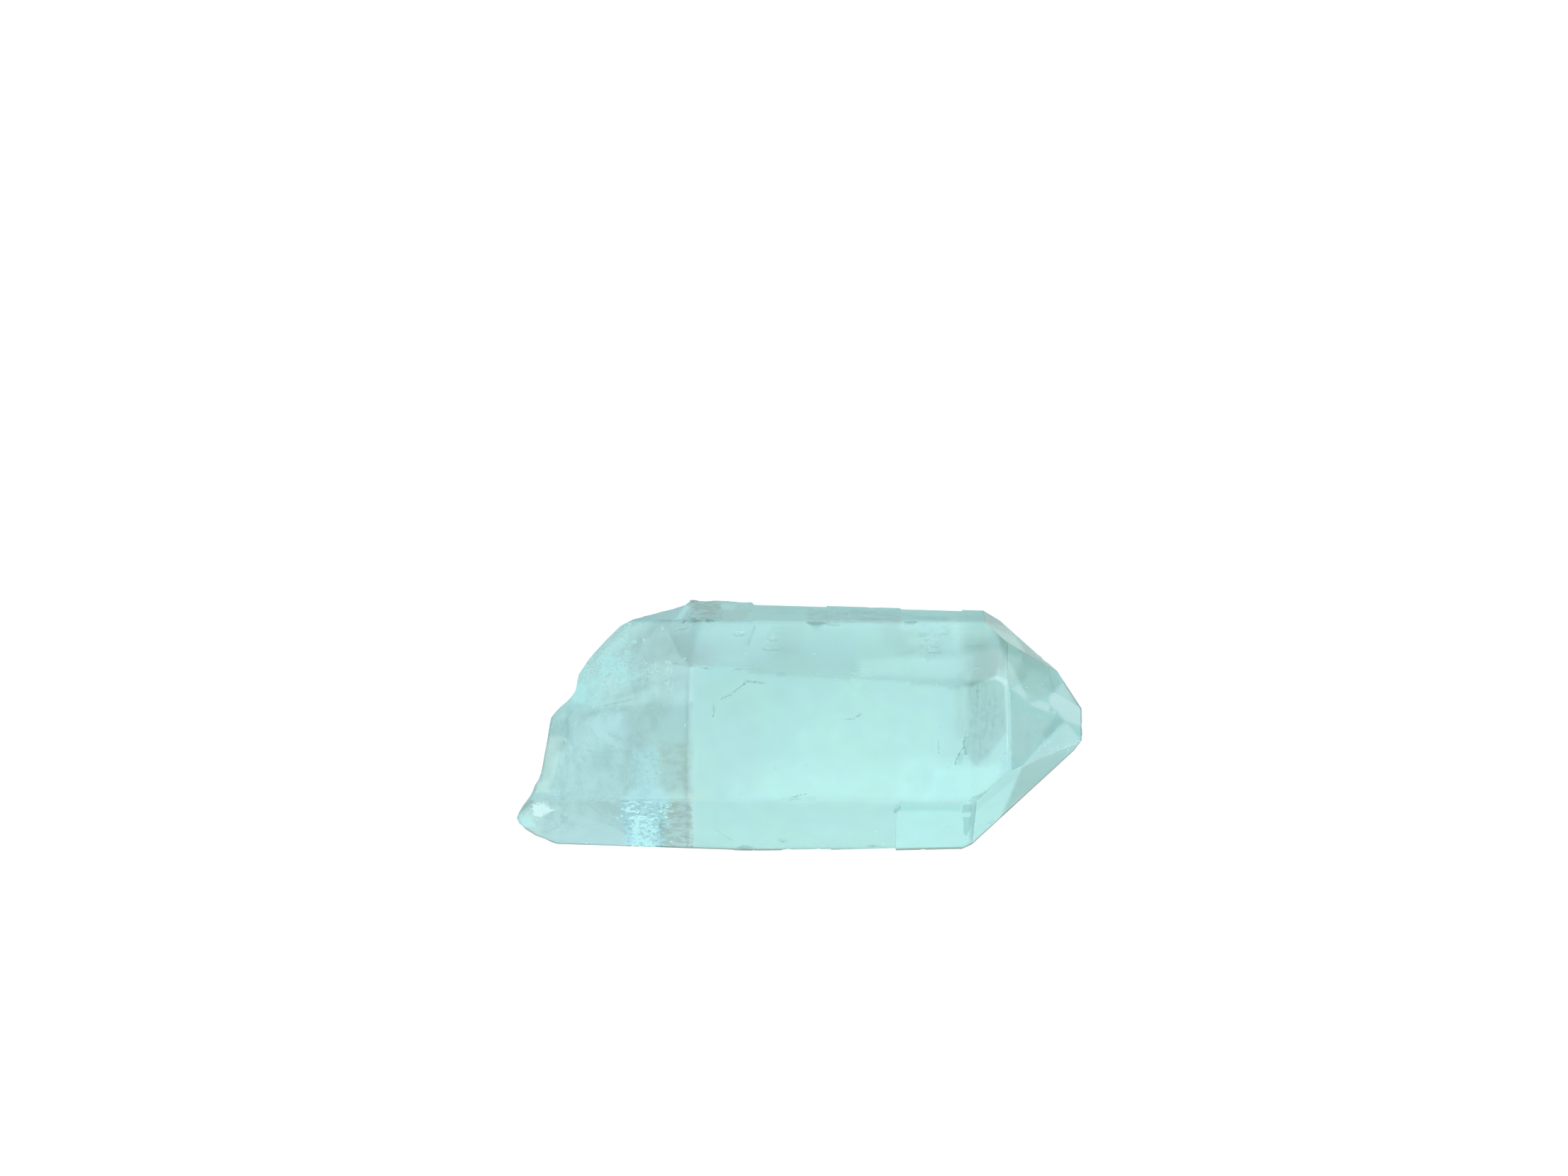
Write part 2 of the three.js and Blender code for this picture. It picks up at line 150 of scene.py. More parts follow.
class Bench:
    """The place where a material's or the world's nodes are made and joined."""

    def __init__(self, tree: bpy.types.NodeTree) -> None:
        """Empties the tree and keeps it."""
        tree.nodes.clear()
        self.tree = tree

    def make(self, kind: str, settings: dict[str, Any], values: dict[Any, Any]) -> bpy.types.Node:
        """Makes any node.

        Args:
            kind: the node's type name.
            settings: properties of the node, set first.
            values: sockets by name or number, each a plain value or a term to link.

        Returns:
            The node.
        """
        node = self.tree.nodes.new(kind)
        for name, value in settings.items():
            setattr(node, name, value)
        for key, value in values.items():
            if isinstance(value, Term):
                self.tree.links.new(value.socket, node.inputs[key])
            else:
                node.inputs[key].default_value = value
        return node

    def node(self, kind: str, settings: dict[str, Any], values: dict[Any, Any], out: Any = 0) -> Term:
        """Makes any node and returns one of its outputs as a term."""
        return Term(self, self.make(kind, settings, values).outputs[out])

    def term(self, value: Term | float) -> Term:
        """A plain number as a term, through a Value node. A term stays as it is.

        Args:
            value: the number or the term.

        Returns:
            The term.
        """
        if isinstance(value, Term):
            return value
        node = self.tree.nodes.new("ShaderNodeValue")
        node.outputs[0].default_value = value
        return Term(self, node.outputs[0])

    def place(self) -> Term:
        """The place on the surface, in metres in the object's own frame."""
        return self.node("ShaderNodeTexCoord", {}, {}, "Object")

    def attribute(self, name: str) -> Term:
        """A number that the mesh carries under a name."""
        return self.node("ShaderNodeAttribute", {"attribute_name": name}, {}, "Fac")

    def grey(self, value: Term) -> Term:
        """A number as a grey colour."""
        return self.node("ShaderNodeCombineColor", {}, {0: value, 1: value, 2: value})

    def mix(self, factor: Term | float, low: Any, high: Any, blend: str = "MIX") -> Term:
        """Blends two colours.

        Args:
            factor: 0 for the low colour alone, and 1 for the full blend.
            low: the first colour, plain or a term.
            high: the second colour, plain or a term.
            blend: the Mix node's way of blending.

        Returns:
            The blended colour.
        """
        sides = [side if isinstance(side, Term) else (*side, 1.0) for side in (low, high)]
        settings = {"data_type": "RGBA", "blend_type": blend}
        return self.node("ShaderNodeMix", settings, {0: factor, 6: sides[0], 7: sides[1]}, 2)

    def overlay(self, cover: Term, under: Term, over: Term) -> Term:
        """One shader laid over another by a cover from 0 to 1."""
        return self.node("ShaderNodeMixShader", {}, {0: cover, 1: under, 2: over})

    def film(self, cover: Term, colour: Colour, roughness: float) -> Term:
        """A dull film, and nothing at all where it doesn't cover.

        Args:
            cover: how far the film hides what lies behind it, from 0 to 1.
            colour: its colour.
            roughness: its roughness.

        Returns:
            The shader.
        """
        clear = self.node("ShaderNodeBsdfTransparent", {}, {})
        values = {"Base Color": (*colour, 1.0), "Roughness": roughness}
        dull = self.node("ShaderNodeBsdfPrincipled", {}, values)
        return self.overlay(cover, clear, dull)

    def surface(self, shader: Term) -> None:
        """Gives the material its surface."""
        self.make("ShaderNodeOutputMaterial", {}, {"Surface": shader})

    def noise(self, place: Term, cell: float, detail: float = 2.0, out: str = "Fac") -> Term:
        """Smooth noise between 0 and 1 whose lumps are about a cell wide."""
        values = {"Vector": place, "Scale": 1.0 / cell, "Detail": detail}
        return self.node("ShaderNodeTexNoise", {}, values, out)

    def cells(self, place: Term, cell: float) -> Term:
        """A random value between 0 and 1 for each of the uneven cells that fill space."""
        value = self.node("ShaderNodeTexVoronoi", {}, {"Vector": place, "Scale": 1.0 / cell}, "Color")
        return value.dot((1.0, 0.0, 0.0))

    def outline(self, plan: Term, corners: Sequence[tuple[float, float]], soft: float) -> Term:
        """A mask that is 1 inside an outline seen from above, with a soft edge.

        The distance of the place inwards from the line through each side is worked out, and the
        least of them is turned into a smooth step. So a corner that turns inwards cuts away what
        lies outwards of the lines through its sides.

        Args:
            plan: the place that is tested, in metres, as x, y and 1.
            corners: the outline's corners in millimetres, counterclockwise.
            soft: the width of the soft edge in millimetres.

        Returns:
            The mask.
        """
        least: Any = None
        for (x0, y0), (x1, y1) in zip(corners, [*corners[1:], corners[0]]):
            length = math.hypot(x1 - x0, y1 - y0)
            across, along = (y0 - y1) / length, (x1 - x0) / length
            side = plan.dot((across, along, -(across * x0 + along * y0) * MM))
            least = side if least is None else side.least(least)
        return least.above(-soft / 2 * MM, soft / 2 * MM)


class Finish(Protocol):
    """Anything that makes its own material."""

    def build(self) -> bpy.types.Material:
        """Makes the material."""


def new_finish(name: str) -> tuple[bpy.types.Material, Bench]:
    """Makes an empty material.

    Args:
        name: the material's name.

    Returns:
        The material and the bench for its nodes.
    """
    material = bpy.data.materials.new(name)
    material.use_nodes = True
    return material, Bench(material.node_tree)


def lattice_noise(points: np.ndarray, cell: float, seed: int) -> np.ndarray:
    """Smooth noise between -1 and 1: random values on a cubic lattice, blended with a smoothstep.

    Args:
        points: the places, one row of three numbers each.
        cell: the width of a lattice cell, in the points' own units.
        seed: the seed of the lattice's random values.

    Returns:
        One value for each place.
    """
    scaled = points / cell
    scaled = scaled - scaled.min(axis=0)
    low = np.floor(scaled).astype(int)
    part = scaled - low
    part = part * part * (3.0 - 2.0 * part)
    lattice = np.random.default_rng(seed).uniform(-1.0, 1.0, tuple(low.max(axis=0) + 2))
    total = np.zeros(len(points))
    for corner in np.ndindex(2, 2, 2):
        offset = np.array(corner)
        weight = np.prod(np.where(offset == 1, part, 1.0 - part), axis=1)
        total += weight * lattice[tuple((low + offset).T)]
    return total


def vertex_rows(mesh: bpy.types.Mesh, name: str) -> np.ndarray:
    """Reads one property of a mesh's vertices.

    Args:
        mesh: the mesh.
        name: the property, co for the places or normal for the normals.

    Returns:
        One row of three numbers for each vertex.
    """
    flat = np.empty(len(mesh.vertices) * 3)
    mesh.vertices.foreach_get(name, flat)
    return flat.reshape(-1, 3)


def triangle_rows(mesh: bpy.types.Mesh) -> np.ndarray:
    """Reads the corners of a mesh that has only triangles.

    Args:
        mesh: the mesh.

    Returns:
        One row of three vertex numbers for each triangle.
    """
    corners = np.empty(len(mesh.polygons) * 3, int)
    mesh.loops.foreach_get("vertex_index", corners)
    return corners.reshape(-1, 3)


class Grain(Enum):
    """How a patch is broken up."""

    EVEN = "even"
    BLOTCHED = "blotched"
    STREAKED = "streaked"
    SPECKLED = "speckled"


@dataclass(frozen=True)
class Patch:
    """A patch of tone on the crystal's upper side, an outline seen from above.

    Every patch but the brown ones is painted light and shade: it lightens or darkens the colour
    where the faces refract and reflect brighter or dimmer parts of the studio. The brown ones are
    stains in the stone, and brown dusk is a stain with painted shade over it. The tone multiplies
    the colour of the faces. The corners and the soft edge are in millimetres, and the corners run
    counterclockwise.
    """

    name: str
    corners: Outline
    tone: Colour
    soft: float = 1.0
    grain: Grain = Grain.EVEN


# Painted light and shade over the root, with brown stains at its near end and in brown dusk.
ROOT_PATCHES = (
    Patch("root, near half", ((-38.0, -18.0), (-13.6, -18.0), (-13.6, 2.0), (-25.5, 1.2), (-38.0, -2.2)),
          (0.78, 0.79, 0.80), 0.9),
    Patch("root, far half", ((-30.0, 3.0), (-26.0, 1.6), (-13.6, 2.6), (-13.6, 16.0), (-24.0, 13.0),
                             (-31.0, 6.0)), (1.27, 1.18, 1.24), 0.9),
    Patch("root, middle left", ((-32.0, -3.6), (-22.5, -3.6), (-22.0, 1.4), (-30.0, 0.8)),
          (1.14, 1.14, 1.16), 2.5),
    Patch("left rim", ((-32.6, -8.8), (-31.0, -8.8), (-29.4, -2.0), (-31.2, -2.0)), (1.72, 1.50, 1.36), 0.9),
    Patch("dusk over the break", ((-21.7, -8.5), (-13.6, -8.5), (-13.6, 2.0), (-21.9, 1.4)),
          (0.87, 0.84, 0.83), 1.2),
    Patch("brown dusk", ((-16.4, -8.8), (-13.6, -8.8), (-13.6, -2.6), (-17.6, -2.6)), (0.82, 0.72, 0.65),
          1.4, Grain.BLOTCHED),
    Patch("bluish haze", ((-20.8, -9.2), (-17.5, -8.6), (-17.8, -3.4), (-20.8, -3.6)),
          (1.15, 1.22, 1.32), 1.6),
    Patch("dark cloud", ((-25.7, -6.2), (-23.0, -6.0), (-23.0, -3.5), (-25.9, -3.9)),
          (0.88, 0.87, 0.88), 1.2),
    Patch("root, near strip", ((-34.0, -17.0), (-17.5, -17.0), (-17.5, -9.9), (-31.0, -9.9)),
          (0.74, 0.80, 0.83), 0.9),
    Patch("blue under the sparkle", ((-22.2, -15.9), (-16.8, -15.9), (-16.5, -9.6), (-22.0, -9.6)),
          (0.94, 1.22, 1.40), 1.2),
    Patch("brown near end", ((-17.8, -16.0), (-13.6, -16.0), (-13.5, -10.0), (-15.8, -9.9), (-17.7, -10.6)),
          (0.54, 0.46, 0.38), 0.5, Grain.BLOTCHED),
    Patch("dark specks by the sparkle", ((-22.4, -15.6), (-17.2, -15.6), (-16.8, -9.9), (-22.2, -9.9)),
          (0.62, 0.66, 0.68), 1.4, Grain.SPECKLED),
    Patch("light bar", ((-15.8, -9.8), (-11.6, -9.7), (-11.6, -8.8), (-15.8, -8.8)), (1.14, 1.0, 0.88), 0.6),
    Patch("dusk of the far half", ((-19.6, 7.2), (-13.6, 6.6), (-13.6, 10.9), (-18.8, 10.2)),
          (0.80, 0.76, 0.74), 1.0),
    Patch("dusk above the crack", ((-19.0, 2.0), (-13.6, 2.0), (-13.6, 6.2), (-17.0, 5.4)),
          (0.84, 0.82, 0.78), 1.2),
)

# Painted light and shade along the far side, with brown stains at its far end.
FAR_PATCHES = (
    Patch("brown far end", ((-13.7, 12.2), (-9.9, 12.4), (-9.8, 14.0), (-10.3, 15.6), (-13.8, 15.8)),
          (0.64, 0.44, 0.41), 0.3, Grain.BLOTCHED),
    Patch("brown far end, thin", ((-9.8, 12.2), (-7.0, 12.4), (-6.2, 14.0), (-9.8, 14.3)),
          (1.0, 0.80, 0.75), 0.5),
    Patch("light over the brown end", ((-10.1, 14.0), (-8.4, 13.9), (-8.2, 14.9), (-10.2, 15.1)),
          (1.42, 1.30, 1.27), 0.4),
    Patch("far chips", ((0.8, 12.2), (12.3, 12.0), (12.3, 13.3), (0.8, 14.2)), (0.80, 0.70, 0.68), 0.6,
          Grain.BLOTCHED),
    Patch("far notch", ((1.7, 11.2), (3.5, 12.3), (0.5, 12.4)), (0.74, 0.72, 0.71), 0.3),
    Patch("far strip, blue end", ((19.3, 11.3), (22.6, 11.3), (22.8, 13.4), (19.3, 13.4)),
          (0.86, 0.88, 0.89), 0.5),
    Patch("band, left part", ((-13.5, 6.4), (-4.0, 7.4), (-4.0, 11.9), (-13.5, 11.9)),
          (1.21, 1.15, 1.24), 1.8),
    Patch("band, dim part", ((-2.7, 8.0), (0.0, 8.4), (0.3, 12.0), (-2.7, 12.0)), (0.93, 0.90, 0.94), 0.9),
    Patch("band, chipped part", ((10.0, 9.6), (12.1, 8.0), (18.7, 8.0), (18.6, 12.0), (10.0, 12.0)),
          (0.86, 0.82, 0.81), 1.0, Grain.BLOTCHED),
    Patch("band, light part", ((7.2, 5.6), (19.2, 5.2), (19.2, 7.6), (12.0, 7.7), (7.0, 7.5)),
          (1.38, 1.30, 1.30), 1.0),
    Patch("band, far end", ((19.2, 8.2), (23.6, 9.0), (23.0, 11.8), (19.0, 11.4)), (1.0, 0.90, 0.88), 0.8),
    Patch("light before the point", ((19.1, 6.2), (20.3, 4.8), (24.0, 5.2), (23.7, 8.9), (19.7, 8.0)),
          (1.60, 1.32, 1.32), 0.8),
)

# Painted light and shade over the flat face: a pool of painted light towards the near end, and painted shade
# before the point, along the near strip and in the slit.
FLAT_PATCHES = (
    Patch("flat, left part", ((-13.6, -9.0), (-5.0, -9.0), (-5.0, 5.0), (-13.6, 5.0)),
          (1.02, 0.95, 0.94), 3.0),
    Patch("flat, middle", ((-1.0, -6.0), (17.0, -6.0), (17.0, 5.0), (-1.0, 5.0)), (1.07, 1.07, 1.04), 4.0),
    Patch("near light, wide", ((-10.0, -10.0), (16.0, -10.0), (14.0, -5.0), (-8.0, -5.0)),
          (1.07, 1.06, 1.06), 2.0),
    Patch("near light", ((-7.0, -9.9), (14.0, -9.9), (12.0, -6.6), (-5.0, -6.6)), (1.09, 1.08, 1.07), 1.8),
    Patch("bright end, wide", ((11.0, -9.9), (21.2, -9.9), (25.2, -6.2), (24.4, -5.2), (12.5, -4.6)),
          (1.08, 1.10, 1.10), 2.0),
    Patch("bright end of the flat", ((15.0, -9.8), (21.0, -9.8), (25.0, -6.3), (24.4, -5.5), (16.5, -5.9)),
          (1.10, 1.12, 1.12), 1.4),
    Patch("dusk before the point", ((20.4, -4.6), (21.5, -5.5), (24.3, -2.6), (25.1, -1.4), (25.1, 4.1),
                                    (23.9, 5.1), (20.3, 4.7)), (0.70, 0.69, 0.67), 0.7, Grain.STREAKED),
    Patch("dusk, left part", ((19.0, -2.6), (20.4, -1.6), (20.3, 4.9), (18.8, 4.4)), (0.92, 0.86, 0.84), 1.0,
          Grain.STREAKED),
    Patch("dusk, near part", ((20.8, -5.7), (22.8, -5.7), (23.6, -3.4), (20.8, -3.8)),
          (0.84, 0.85, 0.85), 0.6, Grain.BLOTCHED),
    Patch("dark dash", ((19.95, -4.2), (20.45, -4.2), (20.5, -1.9), (20.05, -1.9)), (0.70, 0.75, 0.73), 0.25),
    # Painted shade beside the dark dash.
    Patch("shade by the dash", ((19.1, -5.4), (19.7, -5.2), (20.0, -4.0), (19.3, -4.0)),
          (0.76, 0.80, 0.78), 0.4),
    Patch("near strip", ((-13.4, -17.0), (11.8, -17.0), (11.8, -10.1), (-13.4, -9.9)),
          (0.85, 0.94, 0.92), 0.3),
    Patch("near strip, light end", ((11.8, -17.0), (20.8, -17.0), (20.8, -10.2), (11.8, -10.1)),
          (0.94, 1.13, 1.11), 0.3),
    Patch("near strip, top of the end", ((12.0, -11.0), (19.6, -11.0), (19.6, -10.1), (12.0, -10.0)),
          (0.72, 0.82, 0.83), 0.5),
    Patch("slit, upper part", ((19.75, -11.2), (20.95, -11.2), (20.85, -10.3), (19.7, -10.3)),
          (0.48, 0.60, 0.60), 0.2),
    Patch("slit, lower part", ((20.2, -13.6), (20.6, -13.9), (21.0, -12.7), (20.9, -11.75), (19.95, -11.75)),
          (0.48, 0.66, 0.65), 0.2),
)

# Painted light and shade on the faces of the point: painted highlights along its edges and at its tip, and
# painted shade on its darker wedge, streak and facets.
POINT_PATCHES = (
    Patch("near face, light part", ((21.0, -10.5), (21.2, -15.0), (26.0, -10.2), (26.6, -7.5), (26.8, -5.7),
                                    (25.4, -6.2), (23.3, -8.0)), (0.63, 0.96, 0.95), 0.4),
    Patch("near face, upper edge", ((20.9, -10.4), (21.5, -10.9), (26.7, -6.7), (26.8, -5.7), (25.4, -6.2),
                                    (23.3, -7.9)), (0.88, 0.88, 0.86), 0.5),
    Patch("near face, dark wedge", ((26.4, -8.1), (25.9, -10.3), (28.6, -8.0), (31.4, -5.6), (34.8, -2.2),
                                    (31.8, -3.5), (27.6, -5.4), (27.0, -5.8)), (0.51, 0.78, 0.73), 0.4),
    Patch("near light edge", ((27.2, -5.0), (27.5, -5.4), (29.8, -4.4), (32.2, -3.3), (35.2, -1.9),
                              (32.9, 0.5), (30.3, -2.2), (28.6, -3.6)), (1.70, 1.32, 1.32), 0.4),
    Patch("light tip", ((31.2, 1.1), (33.0, 0.5), (35.8, -2.2), (35.8, 2.6), (33.0, 5.4), (32.3, 4.7),
                        (30.9, 3.2)), (1.95, 1.32, 1.32), 0.5),
    Patch("face of the point", ((25.9, -4.2), (27.2, -5.1), (28.4, -3.7), (30.3, -2.2), (32.9, 0.5),
                                (30.8, 0.7), (29.1, 2.1), (28.0, 2.3), (26.3, 3.5), (25.8, 3.9)),
          (1.22, 1.03, 0.98), 0.3, Grain.STREAKED),
    Patch("dark streak", ((29.9, -1.4), (30.5, -2.1), (32.8, 0.4), (31.8, 0.9)), (0.72, 0.75, 0.74), 0.4),
    # Painted shade at the foot of the point's face.
    Patch("shade at the foot", ((26.8, -4.3), (27.5, -5.0), (28.4, -4.0), (28.3, -3.0), (27.0, -3.0)),
          (0.94, 0.94, 0.93), 0.6, Grain.BLOTCHED),
    Patch("far face", ((27.6, 4.0), (29.1, 2.9), (30.7, 3.3), (32.6, 5.2), (29.2, 8.8), (23.4, 13.8),
                       (23.0, 11.8)), (0.93, 0.85, 0.80), 0.4),
    Patch("far face, outer facet", ((22.5, 12.15), (25.6, 9.55), (32.1, 6.5), (33.0, 7.5), (25.0, 13.6),
                                    (22.5, 14.6)), (0.56, 0.66, 0.63), 0.2),
    Patch("far face, upper end", ((24.0, 10.8), (25.0, 8.6), (26.7, 7.9), (27.4, 8.7)),
          (0.58, 0.70, 0.67), 0.5),
    Patch("far light edge", ((23.6, 8.9), (23.9, 5.2), (25.1, 4.3), (26.1, 3.7), (27.9, 2.5), (27.8, 3.5),
                             (26.2, 6.0), (24.5, 8.9)), (1.75, 1.32, 1.32), 0.4),
    Patch("far light edge, tip end", ((27.8, 2.5), (29.5, 1.7), (30.9, 1.2), (31.1, 3.2), (29.7, 2.8),
                                      (27.8, 3.6)), (1.75, 1.32, 1.32), 0.4),
    Patch("foot edge", ((25.1, -2.1), (25.35, -6.2), (25.8, -6.2), (25.75, 0.0), (25.5, 4.6), (24.95, 4.6)),
          (1.56, 1.22, 1.18), 0.2),
)

LIGHT_SHADE_AND_STAIN_PATCHES = ROOT_PATCHES + FAR_PATCHES + FLAT_PATCHES + POINT_PATCHES

AQUA: Colour = (0.52, 0.99, 1.0)
WHITE: Colour = (0.69, 0.99, 1.0)
PALE_OLIVE: Colour = (0.60, 0.92, 0.88)


@dataclass(frozen=True)
class FrostAndGlintPatch:
    """A frosted patch of the upper side, an outline in millimetres, counterclockwise.

    Where it lies in specks, the frost is frosted quartz with painted glints; where it lies evenly,
    along edges and in glows, it is a painted highlight. The cover is how far the frost hides the
    clear stone. A speckled patch is broken into specks, and the greater its share, the more of it
    they take up.
    """

    name: str
    corners: Outline
    cover: float
    soft: float = 0.5
    share: float = 1.0
    grain: Grain = Grain.EVEN
    colour: Colour = AQUA


# Frost with painted glints where it lies in specks, and painted highlights where it lies evenly along edges
# and in glows.
FROST_AND_GLINT_PATCHES = (
    FrostAndGlintPatch("near sparkle, dense", ((-21.6, -15.6), (-18.3, -15.6), (-17.9, -12.9), (-18.9, -11.2),
                                       (-21.0, -11.2)), 0.88, 1.4, 0.58, Grain.SPECKLED),
    FrostAndGlintPatch("near sparkle, scattered", ((-22.8, -12.2), (-15.6, -12.0), (-16.0, -9.5), (-22.2, -9.4)),
               0.85, 2.0, 0.36, Grain.SPECKLED),
    FrostAndGlintPatch("specks in the brown end", ((-17.6, -15.4), (-13.8, -15.4), (-13.8, -10.4), (-17.4, -10.4)),
               0.6, 1.0, 0.08, Grain.SPECKLED),
    FrostAndGlintPatch("haze above it", ((-20.9, -9.0), (-17.3, -8.6), (-17.6, -4.0), (-20.7, -4.0)),
               0.6, 1.6, 0.24, Grain.SPECKLED),
    FrostAndGlintPatch("left corner", ((-33.2, -11.6), (-32.0, -11.5), (-30.7, -10.8), (-31.9, -10.0),
                               (-33.1, -10.3)), 0.95, 0.8, 0.85, Grain.SPECKLED, WHITE),
    FrostAndGlintPatch("rim of the left corner", ((-34.9, -12.9), (-33.2, -12.9), (-33.3, -11.8), (-34.9, -11.6)),
               0.6, 0.8),
    FrostAndGlintPatch("far sparkle", ((-25.8, 6.3), (-24.2, 5.2), (-21.6, 5.0), (-21.6, 7.0), (-24.3, 9.0),
                               (-25.1, 8.2)), 0.95, 1.6, 0.60, Grain.SPECKLED),
    FrostAndGlintPatch("far sparkle, olive end", ((-19.6, 5.2), (-16.2, 4.2), (-14.8, 6.4), (-16.7, 7.3),
                                          (-19.8, 7.9)), 0.75, 1.4, 0.38, Grain.SPECKLED, PALE_OLIVE),
    FrostAndGlintPatch("glow of the left edge", ((-28.3, 2.5), (-26.6, 2.1), (-26.3, 4.0), (-27.0, 4.9),
                                         (-28.3, 4.2)), 0.95, 0.9),
    FrostAndGlintPatch("wide glow", ((-28.6, 1.7), (-24.4, 1.7), (-24.0, 4.8), (-27.0, 7.0), (-29.0, 4.4)),
               0.42, 1.6),
    FrostAndGlintPatch("far haze", ((-29.5, 3.6), (-26.0, 2.2), (-20.0, 4.6), (-20.0, 13.6), (-24.0, 13.0)),
               0.7, 1.6, 0.26, Grain.SPECKLED),
    FrostAndGlintPatch("bright chip", ((-22.8, 4.55), (-21.4, 4.5), (-21.3, 5.5), (-22.3, 5.4)), 0.8, 0.9),
    FrostAndGlintPatch("bright chip, left", ((-26.3, 4.4), (-25.1, 4.5), (-24.9, 5.0), (-25.8, 5.2)), 0.7, 0.8),
    FrostAndGlintPatch("bright chip, right", ((-20.7, 5.1), (-19.8, 5.4), (-19.7, 6.0), (-20.4, 5.8)), 0.6, 0.8),
    FrostAndGlintPatch("streak by the far corner", ((-15.7, 12.5), (-14.9, 12.7), (-13.8, 14.6), (-14.5, 14.9)),
               0.5, 0.5),
    FrostAndGlintPatch("foot edge", ((25.2, -2.1), (25.4, -6.2), (25.75, -6.2), (25.7, 0.0), (25.45, 4.6),
                             (25.0, 4.6)), 0.28, 0.2),
    FrostAndGlintPatch("foot edge, near end", ((24.4, -6.6), (25.7, -6.1), (25.7, -3.8), (24.7, -4.2)), 0.62, 0.5),
    FrostAndGlintPatch("near light edge", ((27.3, -5.0), (27.6, -5.3), (31.0, -2.2), (32.9, 0.3), (32.6, 0.4),
                                   (30.3, -2.1)), 0.35, 0.2),
)


@dataclass(frozen=True)
class ShadeRim:
    """Painted shade: a thin dark line along an outer edge, through points seen from above, in millimetres."""

    points: Outline
    tone: Colour
    half_width: float = 0.24
    soft: float = 0.14

    def strips(self) -> list[Outline]:
        """Makes one thin outline for each stretch between two points.

        Each is the stretch moved half the line's width to its right, and to its left.

        Returns:
            The outlines, counterclockwise.
        """
        strips = []
        for (x0, y0), (x1, y1) in zip(self.points, self.points[1:]):
            length = math.hypot(x1 - x0, y1 - y0)
            dx, dy = (y1 - y0) / length * self.half_width, (x0 - x1) / length * self.half_width
            strips.append(((x0 + dx, y0 + dy), (x1 + dx, y1 + dy), (x1 - dx, y1 - dy), (x0 - dx, y0 - dy)))
        return strips


# Painted shade: thin dark lines along the near edge, the lower right edge and the point.
SHADE_RIMS = (
    ShadeRim(((-34.8, -12.7), (-33.4, -13.8), (-30.8, -14.9), (-22.0, -15.2)), (0.55, 0.40, 0.36), 0.2),
    ShadeRim(((-22.0, -15.2), (-6.8, -15.64), (11.8, -15.62), (20.2, -15.44)), (0.42, 0.26, 0.22), 0.24),
    ShadeRim(((20.2, -15.44), (21.4, -14.87), (34.4, -3.1), (35.3, -1.9)), (0.36, 0.23, 0.20), 0.16, 0.12),
    ShadeRim(((35.3, -1.9), (35.3, 2.1), (32.9, 5.4)), (0.5, 0.42, 0.4), 0.2),
)


